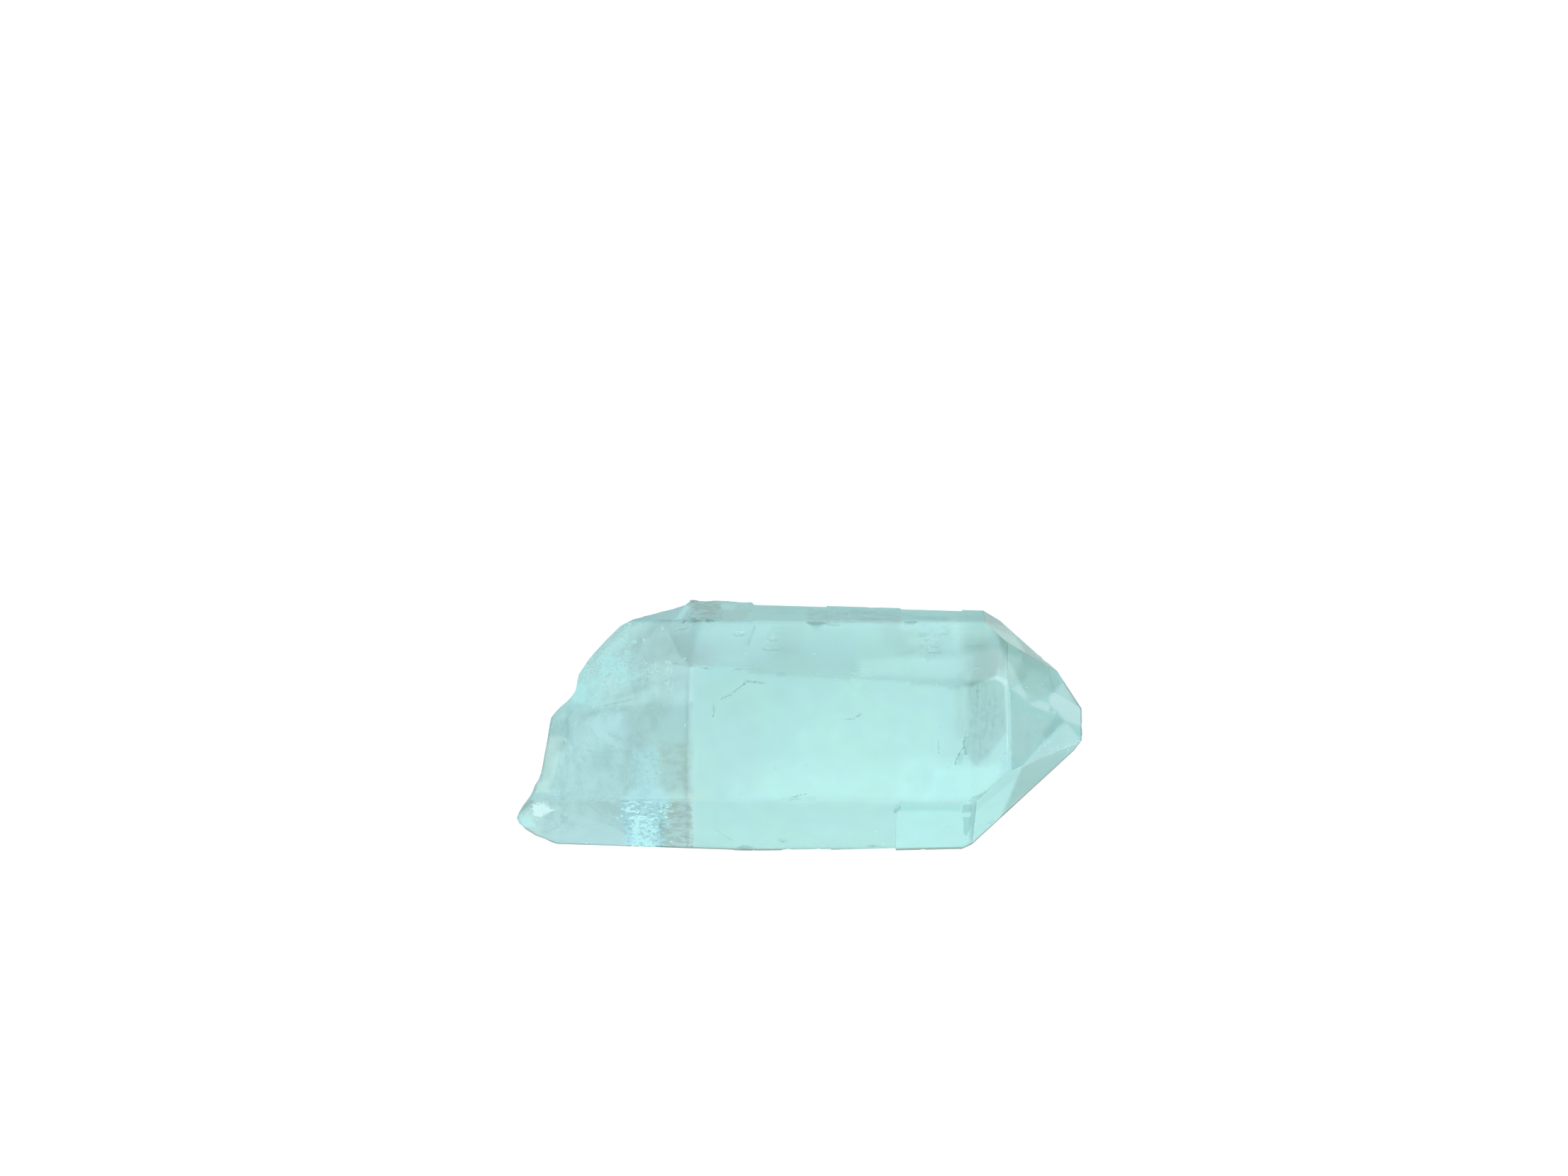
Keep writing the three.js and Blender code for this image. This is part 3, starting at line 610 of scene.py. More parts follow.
@dataclass(frozen=True)
class ClearQuartz:
    """The see-through finish of the crystal itself, satin on its faces and frosted where it broke."""

    ior: float = QUARTZ_IOR
    body: Colour = (0.46, 0.77, 0.755)
    root_body: Colour = (0.58, 0.87, 0.87)
    root_start: Range = (13.5 * MM, 14.2 * MM)
    tint: Colour = (0.55, 0.95, 0.92)
    density: float = 3.0
    satin: float = 0.16
    frosted: float = 0.75
    far_painted_shade: Colour = (0.38, 0.54, 0.56)
    far_ridge: Range = (11.8 * MM, 12.6 * MM)
    warp_cell: float = 2.2 * MM
    warp: float = 0.22 * MM
    mottle_cell: float = 3.0 * MM
    mottle_detail: float = 5.0
    mottle: float = 0.16
    hue_cell: float = 5.0 * MM
    hue_edge: Range = (0.35, 0.65)
    green_cast: Colour = (1.0, 1.01, 0.97)
    violet_cast: Colour = (0.99, 0.985, 1.025)
    blotch_cell: float = 0.7 * MM
    blotch_detail: float = 4.0
    blotch_stretch: tuple[float, float, float] = (0.6, 1.0, 1.0)
    blotch_edge: Range = (0.42, 0.58)
    blotch_least: float = 0.4
    streak_cell: float = 0.45 * MM
    streak_detail: float = 3.0
    streak_stretch: tuple[float, float, float] = (1.0, 0.25, 0.25)
    streak_edge: Range = (0.38, 0.62)
    streak_least: float = 0.76
    dark_speck_cell: float = 0.4 * MM
    dark_speck_edge: Range = (0.72, 0.78)
    speck_cell: float = 0.32 * MM
    speck_jag: float = 0.4
    clump_cell: float = 0.8 * MM
    clump_detail: float = 3.0
    clump_edge: Range = (0.3, 0.7)
    frost_edge: Range = (0.97, 1.03)
    frost_gloss: float = 0.45

    def build(self) -> bpy.types.Material:
        """Makes the finish: full transmission and an even absorption inside.

        The upper side has its cast, stains, painted light and shade, and frost with painted glints
        and highlights, and the lower side is plain.

        Returns:
            The material.
        """
        material, bench = new_finish("clear_quartz")
        place = bench.place()
        broken = bench.attribute(BROKEN)
        upper = bench.attribute(UPPER)
        roughness = self.satin + broken * (self.frosted - self.satin)
        root = place.dot((-1.0, 0.0, 0.0)).above(*self.root_start)
        plain = bench.mix(root, self.body, self.root_body)
        below = self.glass(bench, self.mottled(bench, place, plain), roughness)
        warped = place.moved(bench.noise(place, self.warp_cell, out="Color"), self.warp).plan()
        painted_and_marked = self.mottled(bench, place, self.marks(bench, place, warped, plain))
        clear = self.glass(bench, painted_and_marked, roughness)
        # Frost over the upper side: painted glints in the sparkle and painted highlights along edges and
        # glows.
        cover, colour = self.frost(bench, place, warped)
        values = {"Base Color": colour, "Roughness": self.frost_gloss}
        frosted = bench.node("ShaderNodeBsdfPrincipled", {}, values)
        surface = bench.overlay(upper, below, bench.overlay(cover, clear, frosted))
        absorption = {"Color": (*self.tint, 1.0), "Density": self.density}
        inside = bench.node("ShaderNodeVolumeAbsorption", {}, absorption)
        bench.make("ShaderNodeOutputMaterial", {}, {"Surface": surface, "Volume": inside})
        return material

    def glass(self, bench: Bench, colour: Term, roughness: Term) -> Term:
        """The clear shader with a colour and a roughness."""
        values = {"Base Color": colour, "Roughness": roughness, "IOR": self.ior, "Transmission Weight": 1.0}
        return bench.node("ShaderNodeBsdfPrincipled", {}, values)

    def mottled(self, bench: Bench, place: Term, colour: Term) -> Term:
        """A colour with soft clouds of shade over it."""
        shade = 1.0 + (bench.noise(place, self.mottle_cell, self.mottle_detail) - 0.5) * self.mottle
        return bench.mix(1.0, colour, bench.grey(shade), "MULTIPLY")

    def marks(self, bench: Bench, place: Term, warped: Term, plain: Term) -> Term:
        """The upper side's colour: a cast, stains, and painted light and shade in patches, on the far strip
        and along the rims.

        Args:
            bench: the material's bench.
            place: the place on the surface.
            warped: the place seen from above, moved a little by noise.
            plain: the body's own colour.

        Returns:
            The colour.
        """
        hue = bench.noise(place, self.hue_cell).above(*self.hue_edge)
        colour = bench.mix(1.0, plain, bench.mix(hue, self.green_cast, self.violet_cast), "MULTIPLY")
        # Painted shade: the far strip is darker, as its faces show the shaded floor under the crystal.
        far = place.dot((0.0, 1.0, 0.0)).above(*self.far_ridge)
        colour = bench.mix(far, colour, self.far_painted_shade, "MULTIPLY")
        grains = self.grains(bench, place)
        # Patches of painted light and shade, and the brown stains.
        for patch in LIGHT_SHADE_AND_STAIN_PATCHES:
            mask = bench.outline(warped, patch.corners, patch.soft) * grains[patch.grain]
            colour = bench.mix(mask, colour, patch.tone, "MULTIPLY")
        # Painted shade along the outer rims.
        plan = place.plan()
        for rim in SHADE_RIMS:
            for strip in rim.strips():
                colour = bench.mix(bench.outline(plan, strip, rim.soft), colour, rim.tone, "MULTIPLY")
        return colour

    def grains(self, bench: Bench, place: Term) -> dict[Grain, Term | float]:
        """Works out what each grain multiplies a patch's mask with.

        Blotches and streaks are noise, stretched and raised to at least their least value. Specks
        are the cells whose random value is high.

        Args:
            bench: the material's bench.
            place: the place on the surface.

        Returns:
            A number or a term for each grain.
        """
        blotched = bench.noise(place.stretched(self.blotch_stretch), self.blotch_cell, self.blotch_detail)
        streaked = bench.noise(place.stretched(self.streak_stretch), self.streak_cell, self.streak_detail)
        blotches = blotched.above(*self.blotch_edge) * (1.0 - self.blotch_least)
        streaks = streaked.above(*self.streak_edge) * (1.0 - self.streak_least)
        return {
            Grain.EVEN: 1.0,
            Grain.BLOTCHED: self.blotch_least + blotches,
            Grain.STREAKED: self.streak_least + streaks,
            Grain.SPECKLED: bench.cells(place, self.dark_speck_cell).above(*self.dark_speck_edge),
        }

    def frost(self, bench: Bench, place: Term, warped: Term) -> tuple[Term, Term]:
        """Where the frost lies and its colour: frost with painted glints in specks, painted highlights where
        even.

        A speckled patch has frost where a random value, half of it from small cells and half from
        larger clumps, plus the share times the patch's mask passes 1. Covers add up as films do.

        Args:
            bench: the material's bench.
            place: the place on the surface.
            warped: the place seen from above, moved a little by noise.

        Returns:
            The cover and the colour.
        """
        jag = bench.noise(place, self.speck_cell, out="Color")
        jagged = place.moved(jag, self.speck_cell * self.speck_jag)
        clumps = bench.noise(place, self.clump_cell, self.clump_detail).above(*self.clump_edge)
        value = bench.cells(jagged, self.speck_cell) * 0.5 + clumps * 0.5
        cover = bench.term(0.0)
        colour: Any = FROST_AND_GLINT_PATCHES[0].colour
        for patch in FROST_AND_GLINT_PATCHES:
            mask = bench.outline(warped, patch.corners, patch.soft)
            if patch.grain is Grain.SPECKLED:
                mask = (value + mask * patch.share).above(*self.frost_edge)
            film = mask * patch.cover
            colour = bench.mix(film, colour, patch.colour)
            cover = cover + film - cover * film
        return cover, colour


@dataclass
class Crystal:
    """The crystal's body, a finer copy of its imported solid.

    Its natural faces stay flat and sharp-edged. The broken ones, in the root and the chips, are
    divided into small triangles and given a fine relief. The step is the low triangular one on the
    face of the point: its axis is that face's normal, its top and base are distances along that
    normal, and its foot is the place for a corner that has nothing under it.
    """

    node: str = "crystal_point"
    merge: float = 0.002 * MM
    normal_step: float = 0.004
    offset_step: float = 0.02 * MM
    least_face: float = 2.0 * MM * MM
    plane_gap: float = 0.01 * MM
    cuts: int = 2
    relief: tuple[tuple[float, float], ...] = ((1.6 * MM, 0.07 * MM), (0.7 * MM, 0.03 * MM))
    chip_break: float = 0.35
    chip_level: float = 0.8
    step_axis: tuple[float, float, float] = (0.6184, 0.0, 0.7859)
    step_top: float = 30.54 * MM
    step_base: float = 30.40 * MM
    step_reach: float = 0.5 * MM
    step_foot: tuple[float, float, float] = (25.452 * MM, -6.261 * MM, 18.665 * MM)

    def build(self) -> bpy.types.Object:
        """Makes the finer copy, with its finish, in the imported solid's place.

        Returns:
            The piece.
        """
        mesh = self.merged_copy()
        self.refine_breaks(mesh)
        self.roughen_breaks(mesh)
        mesh.materials.clear()
        mesh.materials.append(ClearQuartz().build())
        piece = bpy.data.objects.new("quartz_body", mesh)
        bpy.context.scene.collection.objects.link(piece)
        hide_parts(self.node)
        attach(piece, "root")
        return piece

    def merged_copy(self) -> bpy.types.Mesh:
        """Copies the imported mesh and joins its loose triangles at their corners.

        Returns:
            The copy.
        """
        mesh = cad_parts[self.node].data.copy()
        mesh.name = "quartz_body"
        shape = bmesh.new()
        shape.from_mesh(mesh)
        bmesh.ops.remove_doubles(shape, verts=shape.verts[:], dist=self.merge)
        self.level_step(shape)
        shape.to_mesh(mesh)
        shape.free()
        return mesh

    def level_step(self, shape: bmesh.types.BMesh) -> None:
        """Welds the corners of the point's low triangular step to the face under it.

        A corner with no point of that face within reach goes to the step's foot. Two triangles end
        up on the same three corners, and only the one that faces up more stays.

        Args:
            shape: the merged triangles.
        """
        axis = Vector(self.step_axis)
        tops, bases = (
            [vert for vert in shape.verts if abs(vert.co.dot(axis) - height) < self.plane_gap]
            for height in (self.step_top, self.step_base)
        )
        targets = {}
        for top in tops:
            nearest = min(bases, key=lambda vert: (vert.co - top.co).length)
            if (nearest.co - top.co).length < self.step_reach:
                targets[top] = nearest
            else:
                top.co = Vector(self.step_foot)
        bmesh.ops.weld_verts(shape, targetmap=targets)
        bmesh.ops.dissolve_degenerate(shape, dist=self.merge, edges=shape.edges[:])
        bmesh.ops.triangulate(shape, faces=shape.faces[:])
        doubled = [face for face in shape.faces if all(len(edge.link_faces) > 2 for edge in face.edges)]
        doubled.sort(key=lambda face: face.normal.z)
        bmesh.ops.delete(shape, geom=doubled[:-1], context="FACES_ONLY")

    def natural_planes(self, mesh: bpy.types.Mesh) -> np.ndarray:
        """Finds the planes of the natural faces.

        Triangles are grouped by their plane, as rounded steps of normal and offset. A group with
        at least the least area is a natural face.

        Args:
            mesh: the merged triangles.

        Returns:
            One row for each plane: its normal and its offset from the origin.
        """
        count = len(mesh.polygons)
        normals = np.empty(count * 3)
        centres = np.empty(count * 3)
        areas = np.empty(count)
        mesh.polygons.foreach_get("normal", normals)
        mesh.polygons.foreach_get("center", centres)
        mesh.polygons.foreach_get("area", areas)
        normals = normals.reshape(-1, 3)
        offsets = np.sum(normals * centres.reshape(-1, 3), axis=1)
        keys = np.column_stack([normals / self.normal_step, offsets / self.offset_step])
        _, group = np.unique(np.round(keys).astype(int), axis=0, return_inverse=True)
        group = group.ravel()
        planes = np.column_stack([normals, offsets]) * areas[:, None]
        totals = np.column_stack([np.bincount(group, weights=column) for column in planes.T])
        sums = np.bincount(group, weights=areas)
        return (totals / sums[:, None])[sums >= self.least_face]

    def breaks(self, mesh: bpy.types.Mesh) -> np.ndarray:
        """Tells how broken each face is, and makes the small chips shallower.

        A face is broken where its corners don't all lie on one natural plane. Broken faces that
        share corners are one break: the largest is the root's, and the rest are chips.

        Args:
            mesh: the merged triangles.

        Returns:
            0, the chips' value or 1 for each triangle.
        """
        planes = self.natural_planes(mesh)
        places = vertex_rows(mesh, "co")
        on_plane = np.abs(places @ planes[:, :3].T - planes[:, 3]) < self.plane_gap
        corners = triangle_rows(mesh)
        broken = ~on_plane[corners].all(axis=1).any(axis=1)
        group = self.groups(corners[broken], len(places))
        names, counts = np.unique(group[corners[broken, 0]], return_counts=True)
        root = names[np.argmax(counts)]
        for chip in names[names != root]:
            inner = (group == chip) & ~on_plane.any(axis=1)
            touched = planes[on_plane[group == chip].sum(axis=0) >= 3]
            if inner.any() and len(touched):
                places[inner] = self.levelled(places[inner], touched)
        mesh.vertices.foreach_set("co", places.ravel())
        mesh.update()
        value = np.where(group[corners[:, 0]] == root, 1.0, self.chip_break)
        return np.where(broken, value, 0.0)

    def groups(self, faces: np.ndarray, count: int) -> np.ndarray:
        """Gives the points of joined faces the same number, by spreading each face's lowest.

        Args:
            faces: the faces' corner numbers.
            count: how many points there are.

        Returns:
            One number for each point.
        """
        group = np.arange(count)
        while True:
            lowest = group[faces].min(axis=1)
            spread = np.repeat(lowest[:, None], 3, axis=1)
            if np.array_equal(group[faces], spread):
                return group
            np.minimum.at(group, faces, spread)

    def levelled(self, points: np.ndarray, planes: np.ndarray) -> np.ndarray:
        """Moves points most of the way out to the nearest of some planes.

        The way out is the planes' mean normal, and the travel is the least that meets a plane.

        Args:
            points: the points.
            planes: the planes, each its normal and offset.

        Returns:
            The moved points.
        """
        out = planes[:, :3].mean(axis=0)
        out /= np.linalg.norm(out)
        travel = (planes[:, 3] - points @ planes[:, :3].T) / (planes[:, :3] @ out)
        return points + np.maximum(travel.min(axis=1), 0.0)[:, None] * out * self.chip_level

    def refine_breaks(self, mesh: bpy.types.Mesh) -> None:
        """Divides the broken triangles and marks them, with sharp edges round them.

        Args:
            mesh: the merged triangles.
        """
        broken = self.breaks(mesh)
        shape = bmesh.new()
        shape.from_mesh(mesh)
        shape.faces.ensure_lookup_table()
        layer = shape.faces.layers.float.new(BROKEN)
        upper = shape.faces.layers.float.new(UPPER)
        for face, value in zip(shape.faces, broken):
            face[layer] = value
            face[upper] = float(face.normal.z > 0.0)
        edges = {edge for face in shape.faces if face[layer] > 0.0 for edge in face.edges}
        bmesh.ops.subdivide_edges(shape, edges=list(edges), cuts=self.cuts, use_grid_fill=True)
        bmesh.ops.triangulate(shape, faces=shape.faces[:])
        for edge in shape.edges:
            edge.smooth = all(face[layer] > 0.0 for face in edge.link_faces)
        for face in shape.faces:
            face.smooth = face[layer] > 0.0
        shape.to_mesh(mesh)
        shape.free()

    def roughen_breaks(self, mesh: bpy.types.Mesh) -> None:
        """Moves the inner points of the broken faces in and out by layers of smooth noise.

        The move is the noise times the least broken of the faces round the point.

        Args:
            mesh: the divided triangles.
        """
        flags = np.empty(len(mesh.polygons))
        mesh.attributes[BROKEN].data.foreach_get("value", flags)
        inner = np.ones(len(mesh.vertices))
        np.minimum.at(inner, triangle_rows(mesh), np.repeat(flags[:, None], 3, axis=1))
        places = vertex_rows(mesh, "co")
        shift = np.zeros(len(places))
        for seed, (cell, height) in enumerate(self.relief):
            shift += height * lattice_noise(places, cell, seed)
        places += vertex_rows(mesh, "normal") * (shift * inner)[:, None]
        mesh.vertices.foreach_set("co", places.ravel())
        mesh.update()


def grid_faces(rows: int, columns: int) -> np.ndarray:
    """The four-sided faces of a grid of points that run row by row."""
    corner = (np.arange(rows - 1)[:, None] * columns + np.arange(columns - 1)).ravel()
    return np.column_stack([corner, corner + 1, corner + columns + 1, corner + columns])


def disc_faces(rings: int, spokes: int) -> list[tuple[int, ...]]:
    """Works out the faces of a disc: point 0 in its middle, then rings, each closed on itself.

    Args:
        rings: how many rings of points there are.
        spokes: how many points a ring has.

    Returns:
        The faces as vertex numbers, the triangles round the middle first.
    """
    spoke = np.arange(spokes)
    after = (spoke + 1) % spokes
    fan = np.column_stack([np.zeros(spokes, int), 1 + spoke, 1 + after])
    ring = 1 + np.arange(rings - 1)[:, None] * spokes
    sides = [(ring + spoke), (ring + spokes + spoke), (ring + spokes + after), (ring + after)]
    quads = np.stack([side.ravel() for side in sides], axis=1)
    return [tuple(face) for face in fan.tolist()] + [tuple(face) for face in quads.tolist()]


def new_piece(
    name: str,
    points: np.ndarray,
    faces: Sequence[Sequence[int]],
    finish: Finish,
) -> bpy.types.Object:
    """Makes a piece that rides with the crystal.

    Args:
        name: the piece's name.
        points: its vertices in metres, one row each.
        faces: its faces as vertex numbers.
        finish: its finish.

    Returns:
        The piece.
    """
    mesh = bpy.data.meshes.new(name)
    mesh.from_pydata(points, [], faces)
    mesh.materials.append(finish.build())
    piece = bpy.data.objects.new(name, mesh)
    bpy.context.scene.collection.objects.link(piece)
    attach(piece, "root")
    return piece


def set_pale(piece: bpy.types.Object, values: np.ndarray) -> None:
    """Gives each point of a piece its pale value, a number from 0 to 1 that its finish reads."""
    layer = piece.data.attributes.new(PALE, "FLOAT", "POINT")
    layer.data.foreach_set("value", values)


class Ground:
    """The crystal's outer surface, onto which small things are dropped from above."""

    start_height: float = 1.0

    def __init__(self, piece: bpy.types.Object) -> None:
        """Keeps a search tree of the piece's faces."""
        mesh = piece.data
        self.tree = BVHTree.FromPolygons(vertex_rows(mesh, "co").tolist(), triangle_rows(mesh).tolist())

    def drop(self, plan: np.ndarray) -> tuple[np.ndarray, np.ndarray, np.ndarray]:
        """Drops plan points onto the surface.

        Args:
            plan: places seen from above in metres, one row of two numbers each.

        Returns:
            The places hit, the surface's normals there, and which plan points hit.
        """
        down = Vector((0.0, 0.0, -1.0))
        found = [self.tree.ray_cast(Vector((x, y, self.start_height)), down) for x, y in plan.tolist()]
        hits = np.array([hit[0] is not None for hit in found])
        places = np.array([hit[0] for hit in found if hit[0] is not None])
        normals = np.array([hit[1] for hit in found if hit[0] is not None])
        return places, normals, hits


@dataclass(frozen=True)
class Cluster:
    """A cloud of grains seen from above, in millimetres: its middle, half widths and grain sizes."""

    name: str
    middle: tuple[float, float]
    half: tuple[float, float]
    count: int
    size: tuple[float, float] = (0.10, 0.30)
    pale: float = 0.3


CLUSTERS = (
    Cluster("near sparkle", (-19.6, -13.2), (1.5, 2.2), 46, (0.12, 0.34)),
    Cluster("near sparkle, upper rim", (-19.2, -10.7), (2.4, 1.0), 30, (0.12, 0.30)),
    Cluster("haze above the near sparkle", (-19.1, -6.2), (1.5, 3.2), 10, (0.10, 0.22), 0.1),
    Cluster("far sparkle", (-23.4, 6.8), (2.0, 1.7), 30, (0.10, 0.30), 0.2),
    Cluster("left corner", (-31.9, -10.8), (0.9, 0.7), 12, (0.14, 0.34), 1.0),
    Cluster("near edge of the root", (-29.3, -13.1), (1.8, 0.6), 12, (0.10, 0.30), 0.8),
    Cluster("near edge, middle", (-5.0, -14.1), (2.4, 0.5), 10, (0.10, 0.24), 0.4),
    Cluster("near edge, right", (2.0, -14.6), (1.2, 0.3), 5, (0.10, 0.26), 0.7),
    Cluster("far ridge chips", (6.6, 13.3), (3.4, 0.7), 12, (0.08, 0.26), 0.4),
    Cluster("far band", (15.6, 9.6), (2.0, 1.4), 10, (0.08, 0.26), 0.3),
    Cluster("whole crystal", (-2.0, -1.0), (24.0, 12.0), 30, (0.05, 0.12), 0.2),
)

# Each fleck is its place, its length and width, and its turn from the long axis in degrees.
FLECKS = (
    (-27.8, -0.3, 0.55, 0.30, 10.0), (-14.4, -0.6, 0.40, 0.20, 80.0), (-12.7, -2.1, 0.60, 0.32, 8.0),
    (-30.7, -0.8, 0.35, 0.22, 70.0), (-10.0, 2.8, 0.65, 0.30, 20.0), (-7.8, 10.7, 0.55, 0.28, -30.0),
    (-3.6, 10.2, 0.60, 0.28, 20.0), (-17.2, 11.4, 0.50, 0.36, 60.0), (-19.5, 10.0, 0.55, 0.25, -30.0),
    (6.6, 5.8, 1.30, 0.16, -6.0), (8.3, 5.5, 0.80, 0.14, -14.0), (15.2, 8.3, 0.9, 0.16, 4.0),
    (14.8, 10.4, 0.50, 0.22, 30.0), (16.7, 10.1, 0.60, 0.20, 12.0), (29.9, 4.8, 0.30, 0.20, 0.0),
    (8.7, -0.4, 0.28, 0.18, 0.0), (-22.2, 0.3, 0.30, 0.16, 10.0), (-16.1, 3.4, 0.36, 0.20, 40.0),
    (-26.1, 4.6, 0.70, 0.28, 10.0), (9.8, 13.75, 1.10, 0.14, 1.0), (21.6, 6.4, 1.5, 0.12, 6.0),
)


@dataclass(frozen=True)
class Frost:
    """The finish of the grains: aqua to nearly white, dull, lit like sugar."""

    aqua: Colour = (0.50, 0.88, 0.92)
    white: Colour = (0.68, 0.98, 0.99)
    roughness: float = 0.45
    ior: float = QUARTZ_IOR

    def build(self) -> bpy.types.Material:
        """Makes the finish, in which the pale value runs from aqua to white.

        Returns:
            The material.
        """
        material, bench = new_finish("frost")
        colour = bench.mix(bench.attribute(PALE), self.aqua, self.white)
        values = {"Base Color": colour, "Roughness": self.roughness, "IOR": self.ior}
        bench.surface(bench.node("ShaderNodeBsdfPrincipled", {}, values))
        return material


FLAKE_POINTS = ((1, 0, 0), (-1, 0, 0), (0, 1, 0), (0, -1, 0), (0, 0, 1), (0, 0, -1))
FLAKE_FACES = ((0, 2, 4), (2, 1, 4), (1, 3, 4), (3, 0, 4), (2, 0, 5), (1, 2, 5), (3, 1, 5), (0, 3, 5))


@dataclass
class Grains:
    """The sparkle: tiny pale flakes in the crystal's skin, each a flattened uneven octahedron."""

    seed: int = 7
    bell: float = 0.5
    narrow: Range = (0.45, 0.9)
    pale_swing: float = 0.3
    fleck_pale: float = 0.7
    thickness: float = 0.3
    uneven: float = 0.3
    raised: float = 0.25
    least_thickness: float = 0.06 * MM

    def build(self, ground: Ground) -> bpy.types.Object:
        """Scatters the clusters and lays the single flecks.

        Args:
            ground: the surface that they lie on.

        Returns:
            All of them as one piece.
        """
        plan, length, width, turn, pale = self.layout()
        places, normals, hits = ground.drop(plan)
        length, width, turn, pale = (row[hits] for row in (length, width, turn, pale))
        points, faces = self.shapes(places, normals, length, width, turn)
        piece = new_piece("surface_sparkle", points, faces, Frost())
        set_pale(piece, np.repeat(pale, len(FLAKE_POINTS)))
        return piece

    def layout(self) -> tuple[np.ndarray, ...]:
        """Works out the grains seen from above.

        Places fall off from each cluster's middle as a bell curve whose width is half the
        cluster's half width, sizes lie between the cluster's limits with small ones more common,
        and the single flecks come last.

        Returns:
            The places, lengths and widths in metres, turns in radians and paleness.
        """
        rng = np.random.default_rng(self.seed)
        rows = []
        for cluster in CLUSTERS:
            count = cluster.count
            places = np.array(cluster.middle) + rng.normal(0.0, self.bell, (count, 2)) * cluster.half
            small, large = cluster.size
            length = small + (large - small) * rng.random(count) ** 2
            width = length * rng.uniform(*self.narrow, count)
            turn = rng.uniform(0.0, FULL_TURN, count)
            pale = np.clip(cluster.pale + rng.uniform(-self.pale_swing, self.pale_swing, count), 0.0, 1.0)
            rows.append(np.column_stack([places, length, width, turn, pale]))
        flecks = np.array(FLECKS)
        rows.append(np.column_stack([flecks, np.full(len(flecks), self.fleck_pale)]))
        table = np.concatenate(rows)
        plan, length, width = table[:, :2] * MM, table[:, 2] * MM, table[:, 3] * MM
        return plan, length, width, np.radians(table[:, 4]), table[:, 5]

    def shapes(
        self,
        places: np.ndarray,
        normals: np.ndarray,
        length: np.ndarray,
        width: np.ndarray,
        turn: np.ndarray,
    ) -> tuple[np.ndarray, list[list[int]]]:
        """Works out the flakes' points.

        Each flake has two points along its length, two along its width and two along its
        thickness, each shifted a little at random. The three directions are the surface's normal
        and two directions across it, turned by the flake's turn.

        Args:
            places: the flakes' places on the surface.
            normals: the surface's normals.
            length: the flakes' lengths.
            width: their widths.
            turn: their turns about the normal, in radians.

        Returns:
            The points and the triangles.
        """
        rng = np.random.default_rng(self.seed + 1)
        count = len(places)
        along = np.cross(np.array([0.0, 1.0, 0.0]), normals)
        along /= np.linalg.norm(along, axis=1, keepdims=True)
        across = np.cross(normals, along)
        cos, sin = np.cos(turn)[:, None], np.sin(turn)[:, None]
        axes = np.stack([along * cos + across * sin, across * cos - along * sin, normals], axis=1)
        depth = np.maximum(width * self.thickness, self.least_thickness)
        halves = np.column_stack([length, width, depth]) / 2.0
        corners = len(FLAKE_POINTS)
        shifts = rng.uniform(-self.uneven, self.uneven, (count, corners, 3))
        local = (np.array(FLAKE_POINTS, float)[None] + shifts) * halves[:, None, :]
        middles = places + normals * (depth * self.raised)[:, None]
        points = middles[:, None, :] + local @ axes
        faces = np.array(FLAKE_FACES)[None] + np.arange(count)[:, None, None] * corners
        return points.reshape(-1, 3), faces.reshape(-1, 3).tolist()


@dataclass(frozen=True)
class Crack:
    """A crack as seen from above: its points, the depth of its upper edge, its drop and its lean.

    All are in millimetres. The lean is how far it runs sideways on its way down, so it is about
    the width that shows from above.
    """

    name: str
    points: tuple[tuple[float, float], ...]
    depth: float = 0.4
    drop: float = 2.0
    lean: float = 0.25


CRACKS = (
    Crack("slanting crack", ((-4.6, 4.7), (-6.9, 5.0), (-8.0, 4.0), (-8.8, 3.3), (-10.0, 2.7)),
          0.4, 1.6, 0.20),
    Crack("root crack, lower", ((-24.6, 1.7), (-22.4, 2.2), (-20.2, 2.7)), 0.5, 1.8, 0.25),
    Crack("root crack, upper", ((-22.8, 4.3), (-19.8, 5.1), (-17.9, 5.4)), 0.4, 1.3, 0.18),
    Crack("crack across the break line", ((-16.6, 7.2), (-13.4, 6.6), (-11.3, 6.4)), 0.4, 1.4, 0.20),
    Crack("dark notch", ((-14.9, 11.6), (-14.2, 12.3), (-13.4, 13.6)), 0.3, 1.0, 0.45),
    Crack("foot of the notch", ((-15.8, 11.0), (-14.6, 11.2), (-13.6, 11.6)), 0.3, 0.7, 0.30),
    Crack("tick", ((-10.9, 2.0), (-11.0, 0.4)), 0.4, 1.0, 0.12),
    Crack("far band, left", ((-5.9, 9.3), (-4.6, 8.7), (-2.3, 8.7)), 0.5, 1.1, 0.16),
    Crack("far band, lower", ((-8.8, 6.2), (-7.0, 6.3), (-5.2, 6.2)), 0.5, 1.0, 0.12),
    Crack("middle hook", ((5.2, 0.1), (6.4, 0.2), (7.5, 1.0)), 0.6, 1.2, 0.13),
    Crack("near edge bruise", ((-1.8, -9.7), (-0.4, -9.3), (1.0, -8.9)), 0.4, 0.7, 0.18),
    Crack("end tick, long", ((20.2, -4.4), (20.1, -2.8), (20.3, -1.3)), 0.5, 1.4, 0.24),
    Crack("end tick, slanting", ((18.8, -5.4), (19.3, -4.4), (20.0, -3.2)), 0.5, 1.1, 0.18),
    Crack("end tick, upper", ((21.8, 2.6), (21.7, 4.9)), 0.6, 1.2, 0.13),
    Crack("end tick, short", ((16.9, -4.1), (16.8, -2.5)), 0.6, 0.9, 0.13),
    Crack("far band, right", ((14.4, 8.3), (16.4, 8.4), (18.0, 8.2)), 0.5, 1.0, 0.13),
    Crack("far band, step", ((19.9, 9.0), (21.6, 9.3), (23.0, 9.1)), 0.5, 0.8, 0.13),
)


